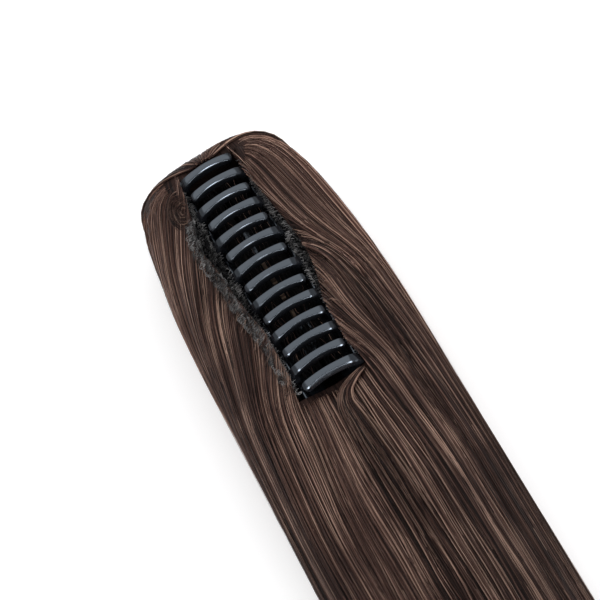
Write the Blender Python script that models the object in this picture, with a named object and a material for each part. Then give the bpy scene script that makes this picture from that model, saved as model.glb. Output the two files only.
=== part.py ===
"""A ponytail hairpiece on a claw clip, lying on the side that faces out when it is worn.

The clip is two toothed jaws hinged on a steel pin, held shut by a torsion spring.
A wefted band is sewn along the outer side of each jaw. The hair wraps the clip as a
hollow head, closed at the crown, and runs on as one straight tail of locks.

Frame: X across the clip, Y along the hair with the crown at +Y and the tail at -Y, and
Z up out of the teeth. The hair rests on Z = 0. The hinge axis runs along Y at X = 0.
"""

import math

import bmesh
import bpy
from mathutils import Vector

MM = 0.001

# Clip
JAW_LENGTH = 113.0 * MM
JAW_HALF_WIDTH = 14.3 * MM
JAW_WALL = 2.2 * MM
TINE_COUNT = 14
TINE_WIDTH = 3.9 * MM
TINE_PITCH = (JAW_LENGTH - TINE_WIDTH) / (TINE_COUNT - 1)
TINE_DEPTH = 3.2 * MM
TINE_CHAMFER = 0.7 * MM
CHAMFER_LIMIT = 0.6
TINE_RISE = 27.0 * MM
LEVER_DROP = 14.2 * MM
LEVER_WIDTH = 46.0 * MM
OPEN_ANGLE = math.radians(34.0)
JAW_SPREAD = math.radians(62.0)

# Hinge
HINGE_HEIGHT = 26.0 * MM
PIN_RADIUS = 1.25 * MM
PIN_HEAD_RADIUS = 2.0 * MM
PIN_HEAD_LENGTH = 1.0 * MM
LUG_RADIUS = 3.6 * MM
LUG_WIDTH = 7.4 * MM
LUG_CENTRE = 26.0 * MM
LUG_STEPS = 8
ROUND_SIDES = 16
BORE_CLEARANCE = 0.15 * MM
CLEARANCE = 0.3 * MM
SPRING_RADIUS = 2.55 * MM
SPRING_WIRE_RADIUS = 0.5 * MM
SPRING_TURNS = 7
SPRING_PITCH = 2.0 * MM
SPRING_TURN_STEPS = 10
SPRING_LEG_SHARE = 0.55
SPRING_SEAT_CLEARANCE = 0.5 * MM

# Weft
WEFT_END_INSET = 2.0 * MM
WEFT_THICKNESS = 2.6 * MM
WEFT_RIPPLE = 0.45 * MM
WEFT_LOOPS = 13

# Hair
HEAD_HALF_WIDTH = 45.0 * MM
LIP_DROP = 0.7 * MM
TAIL_LENGTH = 290.0 * MM
SWING_CLEARANCE = 0.5 * MM
MOUTH_HALF_WIDTH = 19.5 * MM
LOCK_RELIEF = 1.5 * MM
LOCKS_PER_SIDE = 7
TIP_LENGTH = 100.0 * MM
TIP_HALF_WIDTH = 8.4 * MM

CREST_HEIGHT = HINGE_HEIGHT + TINE_RISE - LIP_DROP
WEFT_LENGTH = JAW_LENGTH - 2 * WEFT_END_INSET
CAVITY_HALF_LENGTH = JAW_LENGTH / 2 + SWING_CLEARANCE
SWING_REACH = OPEN_ANGLE + JAW_SPREAD
WALL_START = LUG_RADIUS + CLEARANCE + JAW_WALL / 2

# Jaw wall from the hinge up, the right jaw: across as a share of JAW_HALF_WIDTH, rise
# as a share of TINE_RISE.
WALL_LINE = (
    # across, rise
    (0.620, 0.200),
    (0.820, 0.360),
    (0.898, 0.480),
)

# Tine from its foot in the wall, over the top and down to its tip, in the same shares,
# with its width as a share of TINE_WIDTH and its depth as a share of TINE_DEPTH.
TINE_LINE = (
    # across, rise, width, depth
    (0.885, 0.400, 1.00, 0.80),
    (0.890, 0.580, 1.00, 0.90),
    (0.850, 0.730, 1.00, 1.00),
    (0.745, 0.835, 1.00, 1.00),
    (0.550, 0.905, 1.00, 1.00),
    (0.280, 0.935, 0.97, 1.00),
    (0.000, 0.940, 0.95, 1.00),
    (-0.280, 0.935, 0.93, 0.98),
    (-0.550, 0.905, 0.90, 0.92),
    (-0.700, 0.870, 0.86, 0.80),
    (-0.770, 0.845, 0.66, 0.56),
    (-0.795, 0.836, 0.34, 0.28),
)

# Lever from the hinge down: across as a share of JAW_HALF_WIDTH, drop as a share of
# LEVER_DROP.
LEVER_LINE = (
    # across, drop
    (0.465, 0.430),
    (0.670, 0.770),
    (0.850, 1.000),
)

# Section of a weft, up its face: out from the jaw as a share of WEFT_THICKNESS, share of
# the ripple that it takes, and rise as a share of TINE_RISE.
WEFT_RING = (
    # out, ripple, rise
    (0.00, 0.0, 0.300),
    (0.55, 0.0, 0.285),
    (1.00, 1.0, 0.480),
    (1.00, 1.0, 0.690),
    (0.70, 0.0, 0.775),
    (0.00, 0.0, 0.770),
)

# Hair over the clip, from the crown back: along as a share of half the jaw length, the
# two half widths as shares of HEAD_HALF_WIDTH, and the top, the widest height and the
# underside as shares of CREST_HEIGHT.
HEAD_SECTIONS = (
    # along, left, right, top, middle, under
    (1.230, 0.36, 0.34, 0.60, 0.46, 0.32),
    (1.212, 0.62, 0.56, 0.72, 0.44, 0.17),
    (1.175, 0.77, 0.685, 0.83, 0.43, 0.09),
    (1.115, 0.86, 0.765, 0.92, 0.42, 0.03),
    (1.050, 0.90, 0.80, 0.972, 0.42, 0.0),
    (0.960, 0.92, 0.835, 0.995, 0.42, 0.0),
    (0.800, 0.935, 0.870, 1.0, 0.42, 0.0),
    (0.600, 0.960, 0.910, 1.0, 0.42, 0.0),
    (0.300, 0.990, 0.945, 1.0, 0.42, 0.0),
    (0.000, 1.010, 0.968, 1.0, 0.42, 0.0),
    (-0.400, 1.015, 0.982, 1.0, 0.42, 0.0),
    (-0.800, 1.025, 0.975, 0.995, 0.42, 0.0),
    (-1.000, 1.030, 0.968, 0.975, 0.42, 0.0),
)

# Hair behind the clip: along as a share of TAIL_LENGTH, the rest as above.
TAIL_SECTIONS = (
    # along, left, right, top, middle, under
    (0.060, 1.045, 0.958, 0.925, 0.41, 0.0),
    (0.150, 1.065, 0.948, 0.845, 0.385, 0.0),
    (0.290, 1.085, 0.930, 0.735, 0.35, 0.0),
    (0.440, 1.095, 0.910, 0.635, 0.30, 0.0),
    (0.600, 1.060, 0.890, 0.545, 0.26, 0.0),
    (0.740, 0.970, 0.840, 0.460, 0.22, 0.0),
    (0.840, 0.850, 0.760, 0.350, 0.17, 0.0),
    (0.900, 0.720, 0.660, 0.235, 0.115, 0.0),
    (0.940, 0.560, 0.500, 0.130, 0.065, 0.0),
)

# Edge of the mouth that shows the clip: along as a share of half the jaw length, and
# the two half widths as shares of MOUTH_HALF_WIDTH.
MOUTH_EDGE = (
    # along, left, right
    (1.08, 0.77, 0.77),
    (0.80, 0.80, 0.79),
    (0.64, 0.94, 0.83),
    (0.50, 1.07, 0.88),
    (0.34, 1.09, 0.93),
    (0.10, 0.97, 0.99),
    (-0.12, 0.90, 1.01),
    (-0.34, 0.83, 0.93),
    (-0.54, 0.79, 0.81),
    (-0.80, 0.84, 0.79),
    (-1.08, 0.88, 0.79),
)

# Places of the hair's sections, closer where its form turns: over the clip as shares of
# half the jaw length, and behind it as shares of TAIL_LENGTH.
HEAD_STATIONS = (1.23, 1.212, 1.175, 1.115, 1.05, 0.96, 0.84, 0.7, 0.54, 0.36, 0.18, 0.0)
HEAD_STATIONS += (-0.2, -0.42, -0.66, -0.86, -1.0)
TAIL_STATIONS = (0.03, 0.07, 0.12, 0.19, 0.28, 0.38, 0.5, 0.62, 0.73, 0.82, 0.88, 0.92, 0.94)

# Free ends of the locks: place across as a share of HEAD_HALF_WIDTH, height as a share
# of CREST_HEIGHT, reach along as a share of TAIL_LENGTH, and size.
LOCK_TIPS = (
    # across, height, reach, size
    (-0.68, 0.080, 0.925, 0.80),
    (-0.56, 0.140, 0.955, 0.92),
    (-0.44, 0.078, 0.985, 1.00),
    (-0.32, 0.150, 0.965, 1.02),
    (-0.20, 0.080, 1.000, 1.00),
    (-0.08, 0.165, 0.980, 1.06),
    (0.05, 0.085, 0.995, 0.95),
    (0.17, 0.160, 0.970, 1.02),
    (0.29, 0.080, 0.998, 1.00),
    (0.41, 0.140, 0.960, 0.95),
    (0.52, 0.078, 0.975, 0.90),
    (0.62, 0.100, 0.920, 0.80),
)

# Swell of a free end, as a share of its half width, along its length.
TIP_TAPER = ((0.0, 0.65), (0.40, 1.0), (0.70, 0.92), (0.89, 0.60), (1.0, 0.12))
TIP_SETTLE = 0.55
TIP_FLATNESS = 0.55
TIP_SIDES = 6

SECTION_POWER = 2.5
UNDER_FLATTEN = 1.3
FLANK_START = math.radians(-62.0)
FLANK_STEPS = 52
UNDER_STEPS = 5
RELIEF_POWER = 2.4
RELIEF_RISE = 4.0
DIP_WIDTH = 0.30
DIP_DEPTH = 0.13
DIP_END = 0.30
DIP_POWER = 1.6
NOTCH_DEPTH = 0.035
NOTCH_WIDTH = 0.12
FIRST_STARTS = 0.56
LATER_STARTS_POWER = 0.7
LOCKS_FROM = 1.2
LOCKS_TO = -1.0
MOUTH_FLOOR = 0.45
ARC_STEPS = 20


def clear_scene():
    """Remove every object and the meshes they leave behind."""
    for item in list(bpy.data.objects):
        bpy.data.objects.remove(item, do_unlink=True)
    for mesh in list(bpy.data.meshes):
        bpy.data.meshes.remove(mesh)


def finish(name, colour, roughness, metallic=0.0):
    """A plain Principled material."""
    material = bpy.data.materials.new(name)
    material.use_nodes = True
    shader = material.node_tree.nodes["Principled BSDF"]
    shader.inputs["Base Color"].default_value = (*colour, 1.0)
    shader.inputs["Roughness"].default_value = roughness
    shader.inputs["Metallic"].default_value = metallic
    return material


def add_object(name, mesh, material=None, sharp_angle=math.radians(38.0)):
    """Link a mesh to the scene as a named object, shaded smooth but for its sharp edges."""
    item = bpy.data.objects.new(name, mesh)
    bpy.context.scene.collection.objects.link(item)
    if material is not None:
        mesh.materials.append(material)
    mesh.shade_smooth()
    mesh.set_sharp_from_angle(angle=sharp_angle)
    return item


def make_cutter(name, mesh):
    """Link a mesh as a cutter, which shows as wire and isn't built."""
    item = add_object(name, mesh)
    item.hide_render = True
    item.display_type = "WIRE"
    return item


def add_boolean(item, operation, other, overlapping=False):
    """Add an exact Boolean modifier, for a cutter whose own shapes may overlap too."""
    modifier = item.modifiers.new(f"{operation.lower()}_{other.name}", "BOOLEAN")
    modifier.operation = operation
    modifier.solver = "EXACT"
    modifier.use_self = overlapping
    modifier.object = other


def mesh_from(name, geometry):
    """Turn a bmesh into a mesh with its faces pointing out."""
    bmesh.ops.recalc_face_normals(geometry, faces=geometry.faces)
    mesh = bpy.data.meshes.new(name)
    geometry.to_mesh(mesh)
    geometry.free()
    return mesh


def loft(geometry, rings):
    """Bridge closed rings of equal count and cap both ends."""
    rows = [[geometry.verts.new(point) for point in ring] for ring in rings]
    count = len(rows[0])
    for lower, upper in zip(rows, rows[1:]):
        for i in range(count):
            j = (i + 1) % count
            geometry.faces.new((lower[i], lower[j], upper[j], upper[i]))
    geometry.faces.new(list(reversed(rows[0])))
    geometry.faces.new(rows[-1])


def prism(name, outline, low, high):
    """A closed outline in X and Z, drawn out along Y."""
    geometry = bmesh.new()
    loft(geometry, [[(x, y, z) for x, z in outline] for y in (low, high)])
    return mesh_from(name, geometry)


def box_mesh(name, low, high):
    """A box between two corners."""
    outline = ((low[0], low[2]), (high[0], low[2]), (high[0], high[2]), (low[0], high[2]))
    return prism(name, outline, low[1], high[1])


def wall_outline(line, thickness):
    """Close a centre line into the outline of a wall of even thickness."""
    points = [Vector(p) for p in line]
    left, right = [], []
    for i, point in enumerate(points):
        before = points[max(i - 1, 0)]
        after = points[min(i + 1, len(points) - 1)]
        along = (after - before).normalized()
        across = Vector((-along.y, along.x)) * thickness / 2
        left.append(point + across)
        right.append(point - across)
    return [tuple(p) for p in left + right[::-1]]


def arc(radius, start, end, steps):
    """Points on a circle about the hinge axis, the angle counted from straight up."""
    turns = [start + (end - start) * i / steps for i in range(steps + 1)]
    return [(radius * math.sin(a), HINGE_HEIGHT + radius * math.cos(a)) for a in turns]


def hermite(table, along):
    """Read every column of a table smoothly, at one place along its first column."""
    rows = sorted(table)
    if along <= rows[0][0]:
        return rows[0][1:]
    if along >= rows[-1][0]:
        return rows[-1][1:]
    i = next(k for k in range(len(rows) - 1) if rows[k][0] <= along <= rows[k + 1][0])
    before, low = rows[max(i - 1, 0)], rows[i]
    high, after = rows[i + 1], rows[min(i + 2, len(rows) - 1)]
    span = high[0] - low[0]
    t = (along - low[0]) / span
    values = []
    for c in range(1, len(low)):
        slope_low = (high[c] - before[c]) / max(high[0] - before[0], span) * span
        slope_high = (after[c] - low[c]) / max(after[0] - low[0], span) * span
        values.append(
            (2 * t**3 - 3 * t**2 + 1) * low[c]
            + (t**3 - 2 * t**2 + t) * slope_low
            + (3 * t**2 - 2 * t**3) * high[c]
            + (t**3 - t**2) * slope_high
        )
    return tuple(values)


def tine_place(i):
    """Place along Y of a tine, counted from the crown."""
    return ((TINE_COUNT - 1) / 2 - i) * TINE_PITCH


def tine_radius():
    """Furthest that a tine reaches from the hinge axis."""
    reach = [
        math.hypot(across * JAW_HALF_WIDTH, rise * TINE_RISE) + depth * TINE_DEPTH / 2
        for across, rise, _, depth in TINE_LINE
    ]
    return max(reach)


def lever_radius():
    """Furthest that a lever reaches from the hinge axis."""
    across, drop = LEVER_LINE[-1]
    return math.hypot(across * JAW_HALF_WIDTH, drop * LEVER_DROP) + JAW_WALL / 2


def wall_line(side):
    """Centre line of a jaw's wall, from beside the hinge to its upper edge."""
    line = [(side * WALL_START, HINGE_HEIGHT - LUG_RADIUS / 2)]
    line.append((side * WALL_START, HINGE_HEIGHT + LUG_RADIUS / 4))
    for across, rise in WALL_LINE:
        line.append((side * across * JAW_HALF_WIDTH, HINGE_HEIGHT + rise * TINE_RISE))
    return line


def lever_line(side):
    """Centre line of a jaw's finger lever, from beside the hinge down."""
    line = [(side * WALL_START, HINGE_HEIGHT + LUG_RADIUS / 5)]
    line.append((side * WALL_START, HINGE_HEIGHT - LUG_RADIUS / 2))
    for across, drop in LEVER_LINE:
        line.append((side * across * JAW_HALF_WIDTH, HINGE_HEIGHT - drop * LEVER_DROP))
    return line


def tine_rings(side, centre):
    """Eight-sided sections along a tine, flat on top with chamfered edges."""
    line = [
        Vector((side * across * JAW_HALF_WIDTH, HINGE_HEIGHT + rise * TINE_RISE))
        for across, rise, *_ in TINE_LINE
    ]
    rings = []
    for i, (*_, width, depth) in enumerate(TINE_LINE):
        along = (line[min(i + 1, len(line) - 1)] - line[max(i - 1, 0)]).normalized()
        outward = Vector((along.y, -along.x)) * -side
        half_width = width * TINE_WIDTH / 2
        half_depth = depth * TINE_DEPTH / 2
        cut = min(TINE_CHAMFER, half_width * CHAMFER_LIMIT, half_depth * CHAMFER_LIMIT)
        ring = []
        for w, d in (
            (half_width - cut, half_depth),
            (half_width, half_depth - cut),
            (half_width, cut - half_depth),
            (half_width - cut, -half_depth),
            (cut - half_width, -half_depth),
            (-half_width, cut - half_depth),
            (-half_width, half_depth - cut),
            (cut - half_width, half_depth),
        ):
            spot = line[i] + outward * d
            ring.append((spot.x, centre + w, spot.y))
        rings.append(ring)
    return rings


def lug_outline(side):
    """Round lug about the pin, carried back to the jaw's wall."""
    turns = [math.pi * (0.5 + i / LUG_STEPS) for i in range(LUG_STEPS + 1)]
    outline = [(side * LUG_RADIUS * math.cos(a), LUG_RADIUS * math.sin(a)) for a in turns]
    outline.append((side * WALL_START, -LUG_RADIUS / 2))
    outline.append((side * WALL_START, LUG_RADIUS / 2))
    return [(x, HINGE_HEIGHT + z) for x, z in outline]


def lug_places(side):
    """Places along Y of a jaw's two lugs, which sit beside the other jaw's."""
    step = LUG_WIDTH + 2 * CLEARANCE
    return (LUG_CENTRE + side * step / 2, -LUG_CENTRE + side * step / 2)


def cylinder_mesh(name, radius, low, high):
    """A round bar along the hinge axis."""
    turns = [math.tau * i / ROUND_SIDES for i in range(ROUND_SIDES)]
    outline = [(radius * math.cos(a), HINGE_HEIGHT + radius * math.sin(a)) for a in turns]
    return prism(name, outline, low, high)


def make_jaw(name, side, material):
    """One jaw: wall, tines, finger lever and bored lugs, fused in one body."""
    half = JAW_LENGTH / 2
    wall = prism(f"{name}_wall", wall_outline(wall_line(side), JAW_WALL), -half, half)
    jaw = add_object(name, wall, material)

    lever = prism(
        f"{name}_lever",
        wall_outline(lever_line(side), JAW_WALL),
        -LEVER_WIDTH / 2,
        LEVER_WIDTH / 2,
    )
    add_boolean(jaw, "UNION", make_cutter(f"{name}_lever", lever))

    first = 0 if side < 0 else 1
    tines = bmesh.new()
    for i in range(first, TINE_COUNT, 2):
        loft(tines, tine_rings(side, tine_place(i)))
    add_boolean(jaw, "UNION", make_cutter(f"{name}_tines", mesh_from(f"{name}_tines", tines)))

    for number, centre in enumerate(lug_places(side), 1):
        lug = prism(
            f"{name}_lug_{number}",
            lug_outline(side),
            centre - LUG_WIDTH / 2,
            centre + LUG_WIDTH / 2,
        )
        add_boolean(jaw, "UNION", make_cutter(f"{name}_lug_{number}", lug))

    bore = cylinder_mesh(
        f"{name}_bore",
        (PIN_RADIUS + BORE_CLEARANCE) / math.cos(math.pi / ROUND_SIDES),
        -half,
        half,
    )
    add_boolean(jaw, "DIFFERENCE", make_cutter(f"{name}_bore", bore))
    return jaw


def make_pin(material):
    """Hinge pin with a head at each end, outside the outer lugs."""
    reach = LUG_CENTRE + LUG_WIDTH + 2 * CLEARANCE
    pin = add_object("hinge_pin", cylinder_mesh("hinge_pin", PIN_RADIUS, -reach, reach), material)
    for number, end in enumerate((-1, 1), 1):
        low, high = sorted((end * reach, end * (reach + PIN_HEAD_LENGTH)))
        low -= CLEARANCE if end > 0 else 0
        high += CLEARANCE if end < 0 else 0
        head = cylinder_mesh(f"pin_head_{number}", PIN_HEAD_RADIUS, low, high)
        add_boolean(pin, "UNION", make_cutter(f"pin_head_{number}", head))
    return pin


def spring_path():
    """Points of the spring wire: a leg, the coil round the pin, and the other leg."""
    half = SPRING_TURNS * SPRING_PITCH / 2
    points = []
    for i in range(SPRING_TURNS * SPRING_TURN_STEPS + 1):
        turn = math.tau * i / SPRING_TURN_STEPS
        y = -half + SPRING_PITCH * i / SPRING_TURN_STEPS
        points.append(
            Vector(
                (
                    SPRING_RADIUS * math.cos(turn),
                    y,
                    HINGE_HEIGHT + SPRING_RADIUS * math.sin(turn),
                )
            )
        )
    across, drop = LEVER_LINE[0]
    inset = JAW_WALL / 2 + SPRING_WIRE_RADIUS + SPRING_SEAT_CLEARANCE
    foot_x = across * JAW_HALF_WIDTH - inset
    foot_z = HINGE_HEIGHT - drop * LEVER_DROP
    first_leg = Vector((foot_x, -half - SPRING_PITCH * SPRING_LEG_SHARE, foot_z))
    last_leg = Vector((-foot_x, half + SPRING_PITCH * SPRING_LEG_SHARE, foot_z))
    crossing = Vector((-SPRING_RADIUS, half + SPRING_PITCH / 2, HINGE_HEIGHT))
    crest = Vector((0.0, half + SPRING_PITCH / 4, HINGE_HEIGHT + SPRING_RADIUS))
    return [first_leg, *points, crest, crossing, last_leg]


def make_spring(material):
    """Torsion spring wound round the pin, its legs against the two levers."""
    curve = bpy.data.curves.new("spring_wire", "CURVE")
    curve.dimensions = "3D"
    curve.bevel_depth = SPRING_WIRE_RADIUS
    curve.bevel_resolution = 0
    curve.use_fill_caps = True
    path = spring_path()
    spline = curve.splines.new("POLY")
    spline.points.add(len(path) - 1)
    for point, place in zip(spline.points, path):
        point.co = (*place, 1.0)
    guide = bpy.data.objects.new("spring_guide", curve)
    bpy.context.scene.collection.objects.link(guide)
    bpy.context.view_layer.update()
    evaluated = guide.evaluated_get(bpy.context.evaluated_depsgraph_get())
    mesh = bpy.data.meshes.new_from_object(evaluated)
    bpy.data.objects.remove(guide, do_unlink=True)
    geometry = bmesh.new()
    geometry.from_mesh(mesh)
    bpy.data.meshes.remove(mesh)
    bmesh.ops.remove_doubles(geometry, verts=geometry.verts, dist=SPRING_WIRE_RADIUS / 100)
    return add_object("torsion_spring", mesh_from("torsion_spring", geometry), material)


def make_weft(name, side, material):
    """Sewn band of hair along a jaw's outer side, its face rippled by the thread loops."""
    inner = JAW_HALF_WIDTH + CLEARANCE
    stations = WEFT_LOOPS * 2
    rings = []
    for i in range(stations + 1):
        y = WEFT_LENGTH * (i / stations - 0.5)
        wave = WEFT_RIPPLE * (-1) ** i
        ring = []
        for out, ripple, rise in WEFT_RING:
            x = inner + out * WEFT_THICKNESS + ripple * wave
            ring.append((side * x, y, HINGE_HEIGHT + rise * TINE_RISE))
        rings.append(ring)
    geometry = bmesh.new()
    loft(geometry, rings)
    return add_object(name, mesh_from(name, geometry), material)


def hair_section(y):
    """Half widths, top, widest height and underside of the hair at one place along Y."""
    half = JAW_LENGTH / 2
    rows = [(along * half, *rest) for along, *rest in HEAD_SECTIONS]
    rows += [(-half - along * TAIL_LENGTH, *rest) for along, *rest in TAIL_SECTIONS]
    left, right, top, middle, under = hermite(rows, y)
    return (
        left * HEAD_HALF_WIDTH,
        right * HEAD_HALF_WIDTH,
        top * CREST_HEIGHT,
        middle * CREST_HEIGHT,
        max(under, 0.0) * CREST_HEIGHT,
    )


def locks_started(y):
    """Share of the locks that have left the clip by this place, counted from the crown."""
    half = JAW_LENGTH / 2
    done = (LOCKS_FROM - y / half) / (LOCKS_FROM - LOCKS_TO)
    done = min(max(done, 0.0), 1.0)
    return FIRST_STARTS + (1 - FIRST_STARTS) * done**LATER_STARTS_POWER


def lock_relief(rise, y):
    """Height of the locks over the hair's even surface, from 0 in a parting to 1."""
    place = rise * locks_started(y) * LOCKS_PER_SIDE
    spread = abs(2 * (place - math.floor(place)) - 1)
    return 1 - spread**RELIEF_POWER


def valley(x, y):
    """How far the hair sinks between the two sides, behind the clip and at the crown."""
    half = JAW_LENGTH / 2
    behind = min(max((-half - y) / (DIP_END * TAIL_LENGTH), 0.0), 1.0)
    deep = DIP_DEPTH * CREST_HEIGHT * (1 - behind) ** DIP_POWER if y < -half / 2 else 0.0
    wide = DIP_WIDTH * HEAD_HALF_WIDTH
    sunk = deep * math.exp(-((x / wide) ** 2))
    if y > half:
        narrow = NOTCH_WIDTH * HEAD_HALF_WIDTH
        sunk += NOTCH_DEPTH * CREST_HEIGHT * math.exp(-((x / narrow) ** 2))
    return sunk


def hair_ring(y):
    """One closed section of the hair: the locks over the flanks, then the underside."""
    left, right, top, middle, under = hair_section(y)
    power = 2 / SECTION_POWER
    span = math.pi - 2 * FLANK_START
    ring = []
    for i in range(FLANK_STEPS + 1):
        turn = FLANK_START + span * i / FLANK_STEPS
        c, s = math.cos(turn), math.sin(turn)
        width = right if c > 0 else left
        x = math.copysign(abs(c) ** power, c) * width
        if s > 0:
            z = middle + (top - middle) * s**power
        else:
            z = middle - (middle - under) * UNDER_FLATTEN * abs(s) ** power
        rise = 1 - abs(2 * i / FLANK_STEPS - 1)
        relief = LOCK_RELIEF * (lock_relief(rise, y) - 1) * min(1.0, RELIEF_RISE * rise)
        x += relief * c
        z += relief * max(s, 0.0) - valley(x, y) * max(s, 0.0)
        ring.append((x, y, max(z, under)))
    start, end = ring[-1], ring[0]
    for i in range(1, UNDER_STEPS):
        share = i / UNDER_STEPS
        ring.append((start[0] + (end[0] - start[0]) * share, y, under))
    return ring


def hair_stations():
    """Places along Y of the hair's sections."""
    half = JAW_LENGTH / 2
    return [a * half for a in HEAD_STATIONS] + [-half - a * TAIL_LENGTH for a in TAIL_STATIONS]


def hair_mesh(name):
    """The whole mass of hair, before the hollow for the clip."""
    geometry = bmesh.new()
    loft(geometry, [hair_ring(y) for y in hair_stations()])
    return mesh_from(name, geometry)


def tip_mesh():
    """Free ends of the locks, each a flat tapering strand that starts inside the tail."""
    geometry = bmesh.new()
    for across, height, reach, size in LOCK_TIPS:
        end = -JAW_LENGTH / 2 - reach * TAIL_LENGTH
        rings = []
        for share, swell in TIP_TAPER:
            y = end + (1 - share) * TIP_LENGTH
            half = TIP_HALF_WIDTH * size * swell
            centre = height * CREST_HEIGHT * (1 - TIP_SETTLE * share)
            flat = min(half * TIP_FLATNESS, centre)
            x = across * HEAD_HALF_WIDTH
            turns = [math.tau * (i + 0.5) / TIP_SIDES for i in range(TIP_SIDES)]
            rings.append(
                [(x + half * math.cos(a), y, centre + flat * math.sin(a)) for a in turns]
            )
        loft(geometry, rings)
    return mesh_from("lock_tips", geometry)


def hollow_mesh():
    """Room in the hair for the jaws to swing and for the levers below them."""
    upper = arc(tine_radius() + SWING_CLEARANCE, -SWING_REACH, SWING_REACH, ARC_STEPS)
    lower = arc(
        lever_radius() + SWING_CLEARANCE, SWING_REACH, math.tau - SWING_REACH, ARC_STEPS
    )
    reach = CAVITY_HALF_LENGTH + 4 * SWING_CLEARANCE
    return prism("clip_hollow", upper + lower, -reach, reach)


def mouth_mesh():
    """Mouth in the top of the head, with the edge that the hair makes round the clip."""
    half = JAW_LENGTH / 2
    outline = [(right * MOUTH_HALF_WIDTH, along * half) for along, _, right in MOUTH_EDGE]
    outline += [(-left * MOUTH_HALF_WIDTH, along * half) for along, left, _ in MOUTH_EDGE[::-1]]
    low = HINGE_HEIGHT + tine_radius() * MOUTH_FLOOR
    high = CREST_HEIGHT + tine_radius()
    geometry = bmesh.new()
    loft(geometry, [[(x, y, z) for x, y in outline] for z in (low, high)])
    return mesh_from("clip_mouth", geometry)


def make_hair(material):
    """The crown, the two sides and the tail, cut from one mass of hair."""
    far = 2 * (JAW_LENGTH + TAIL_LENGTH)
    gap = CLEARANCE / 2
    edge = CAVITY_HALF_LENGTH
    regions = {
        "crown_hair": ((-far, edge + 2 * gap, -far), (far, far, far)),
        "left_hair": ((-far, -edge, -far), (-gap, edge, far)),
        "right_hair": ((gap, -edge, -far), (far, edge, far)),
        "tail_hair": ((-far, -far, -far), (far, -edge - 2 * gap, far)),
    }
    hollow = make_cutter("clip_hollow", hollow_mesh())
    mouth = make_cutter("clip_mouth", mouth_mesh())
    tips = make_cutter("lock_tips", tip_mesh())
    for name, (low, high) in regions.items():
        lock = add_object(name, hair_mesh(name), material, math.radians(60.0))
        region = make_cutter(f"{name}_region", box_mesh(f"{name}_region", low, high))
        add_boolean(lock, "INTERSECT", region)
        if name in ("left_hair", "right_hair"):
            add_boolean(lock, "DIFFERENCE", hollow)
            add_boolean(lock, "DIFFERENCE", mouth)
        if name == "tail_hair":
            add_boolean(lock, "UNION", tips, overlapping=True)


def bounding_middle():
    """Middle of the hair's outline in plan, which is the whole piece's outline."""
    across = [point[0] for y in hair_stations() for point in hair_ring(y)]
    crown = hair_stations()[0]
    reach = max(tip[2] for tip in LOCK_TIPS)
    end = -JAW_LENGTH / 2 - reach * TAIL_LENGTH
    return Vector(((min(across) + max(across)) / 2, (crown + end) / 2, 0.0))


def place_pieces():
    """Centre the piece on the origin, and hang what swings on the hinge's axis."""
    middle = bpy.data.objects.new("hairpiece", None)
    axis = bpy.data.objects.new("hinge_axis", None)
    for empty in (middle, axis):
        bpy.context.scene.collection.objects.link(empty)
    middle.location = -bounding_middle()
    axis.parent = middle
    axis.location = (0.0, 0.0, HINGE_HEIGHT)
    for item in bpy.data.objects:
        if item.type != "MESH":
            continue
        swings = item.name.startswith(("left_jaw", "right_jaw", "left_weft", "right_weft"))
        item.parent = axis if swings else middle
        item.location = (0.0, 0.0, -HINGE_HEIGHT if swings else 0.0)


def main():
    """Build every piece."""
    clear_scene()
    black = finish("gloss_black_plastic", (0.012, 0.013, 0.016), 0.14)
    steel = finish("spring_steel", (0.62, 0.61, 0.60), 0.28, 1.0)
    thread = finish("weft_thread", (0.010, 0.008, 0.008), 0.75)
    hair = finish("dark_brown_hair", (0.050, 0.028, 0.022), 0.42)
    make_jaw("left_jaw", -1, black)
    make_jaw("right_jaw", 1, black)
    make_pin(steel)
    make_spring(steel)
    make_weft("left_weft", -1, thread)
    make_weft("right_weft", 1, thread)
    make_hair(hair)
    place_pieces()


main()
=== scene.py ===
"""Looks of a ponytail hairpiece on a claw clip, lying with its clip up on a pale floor.

The hair is grown in coats of strands on flow sheets, which are grids that follow the way
the real strands run: out of the clip, over the lip of the head and down the tail. The
clip's jaws are smooth lofts, with a band of curly thread sewn along each of them.

Everything is modelled in the clip's own frame, X across the clip, Y along it with the
crown at +Y, and Z up, and is then carried to where the clip lies.
"""

import logging
import math
from collections.abc import Callable
from dataclasses import dataclass, field, fields, replace
from enum import Enum

import bmesh
import bpy
import numpy as np
from bpy.types import Material, Mesh, Object
from mathutils import Matrix, Vector


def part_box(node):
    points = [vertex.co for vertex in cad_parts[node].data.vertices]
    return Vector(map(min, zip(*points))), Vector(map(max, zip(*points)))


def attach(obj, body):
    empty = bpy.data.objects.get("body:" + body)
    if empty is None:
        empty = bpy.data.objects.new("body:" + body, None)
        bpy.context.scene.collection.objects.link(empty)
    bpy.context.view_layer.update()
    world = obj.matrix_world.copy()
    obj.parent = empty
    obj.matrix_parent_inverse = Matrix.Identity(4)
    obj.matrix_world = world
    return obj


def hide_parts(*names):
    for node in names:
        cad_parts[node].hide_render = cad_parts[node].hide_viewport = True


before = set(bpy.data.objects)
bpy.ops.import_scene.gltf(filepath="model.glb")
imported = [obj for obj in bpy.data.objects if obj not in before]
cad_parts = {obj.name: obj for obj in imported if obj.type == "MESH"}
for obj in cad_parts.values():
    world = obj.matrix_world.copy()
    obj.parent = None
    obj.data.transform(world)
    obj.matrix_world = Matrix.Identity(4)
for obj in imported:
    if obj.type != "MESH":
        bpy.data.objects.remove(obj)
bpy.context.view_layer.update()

LOG = logging.getLogger("hairpiece")

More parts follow.
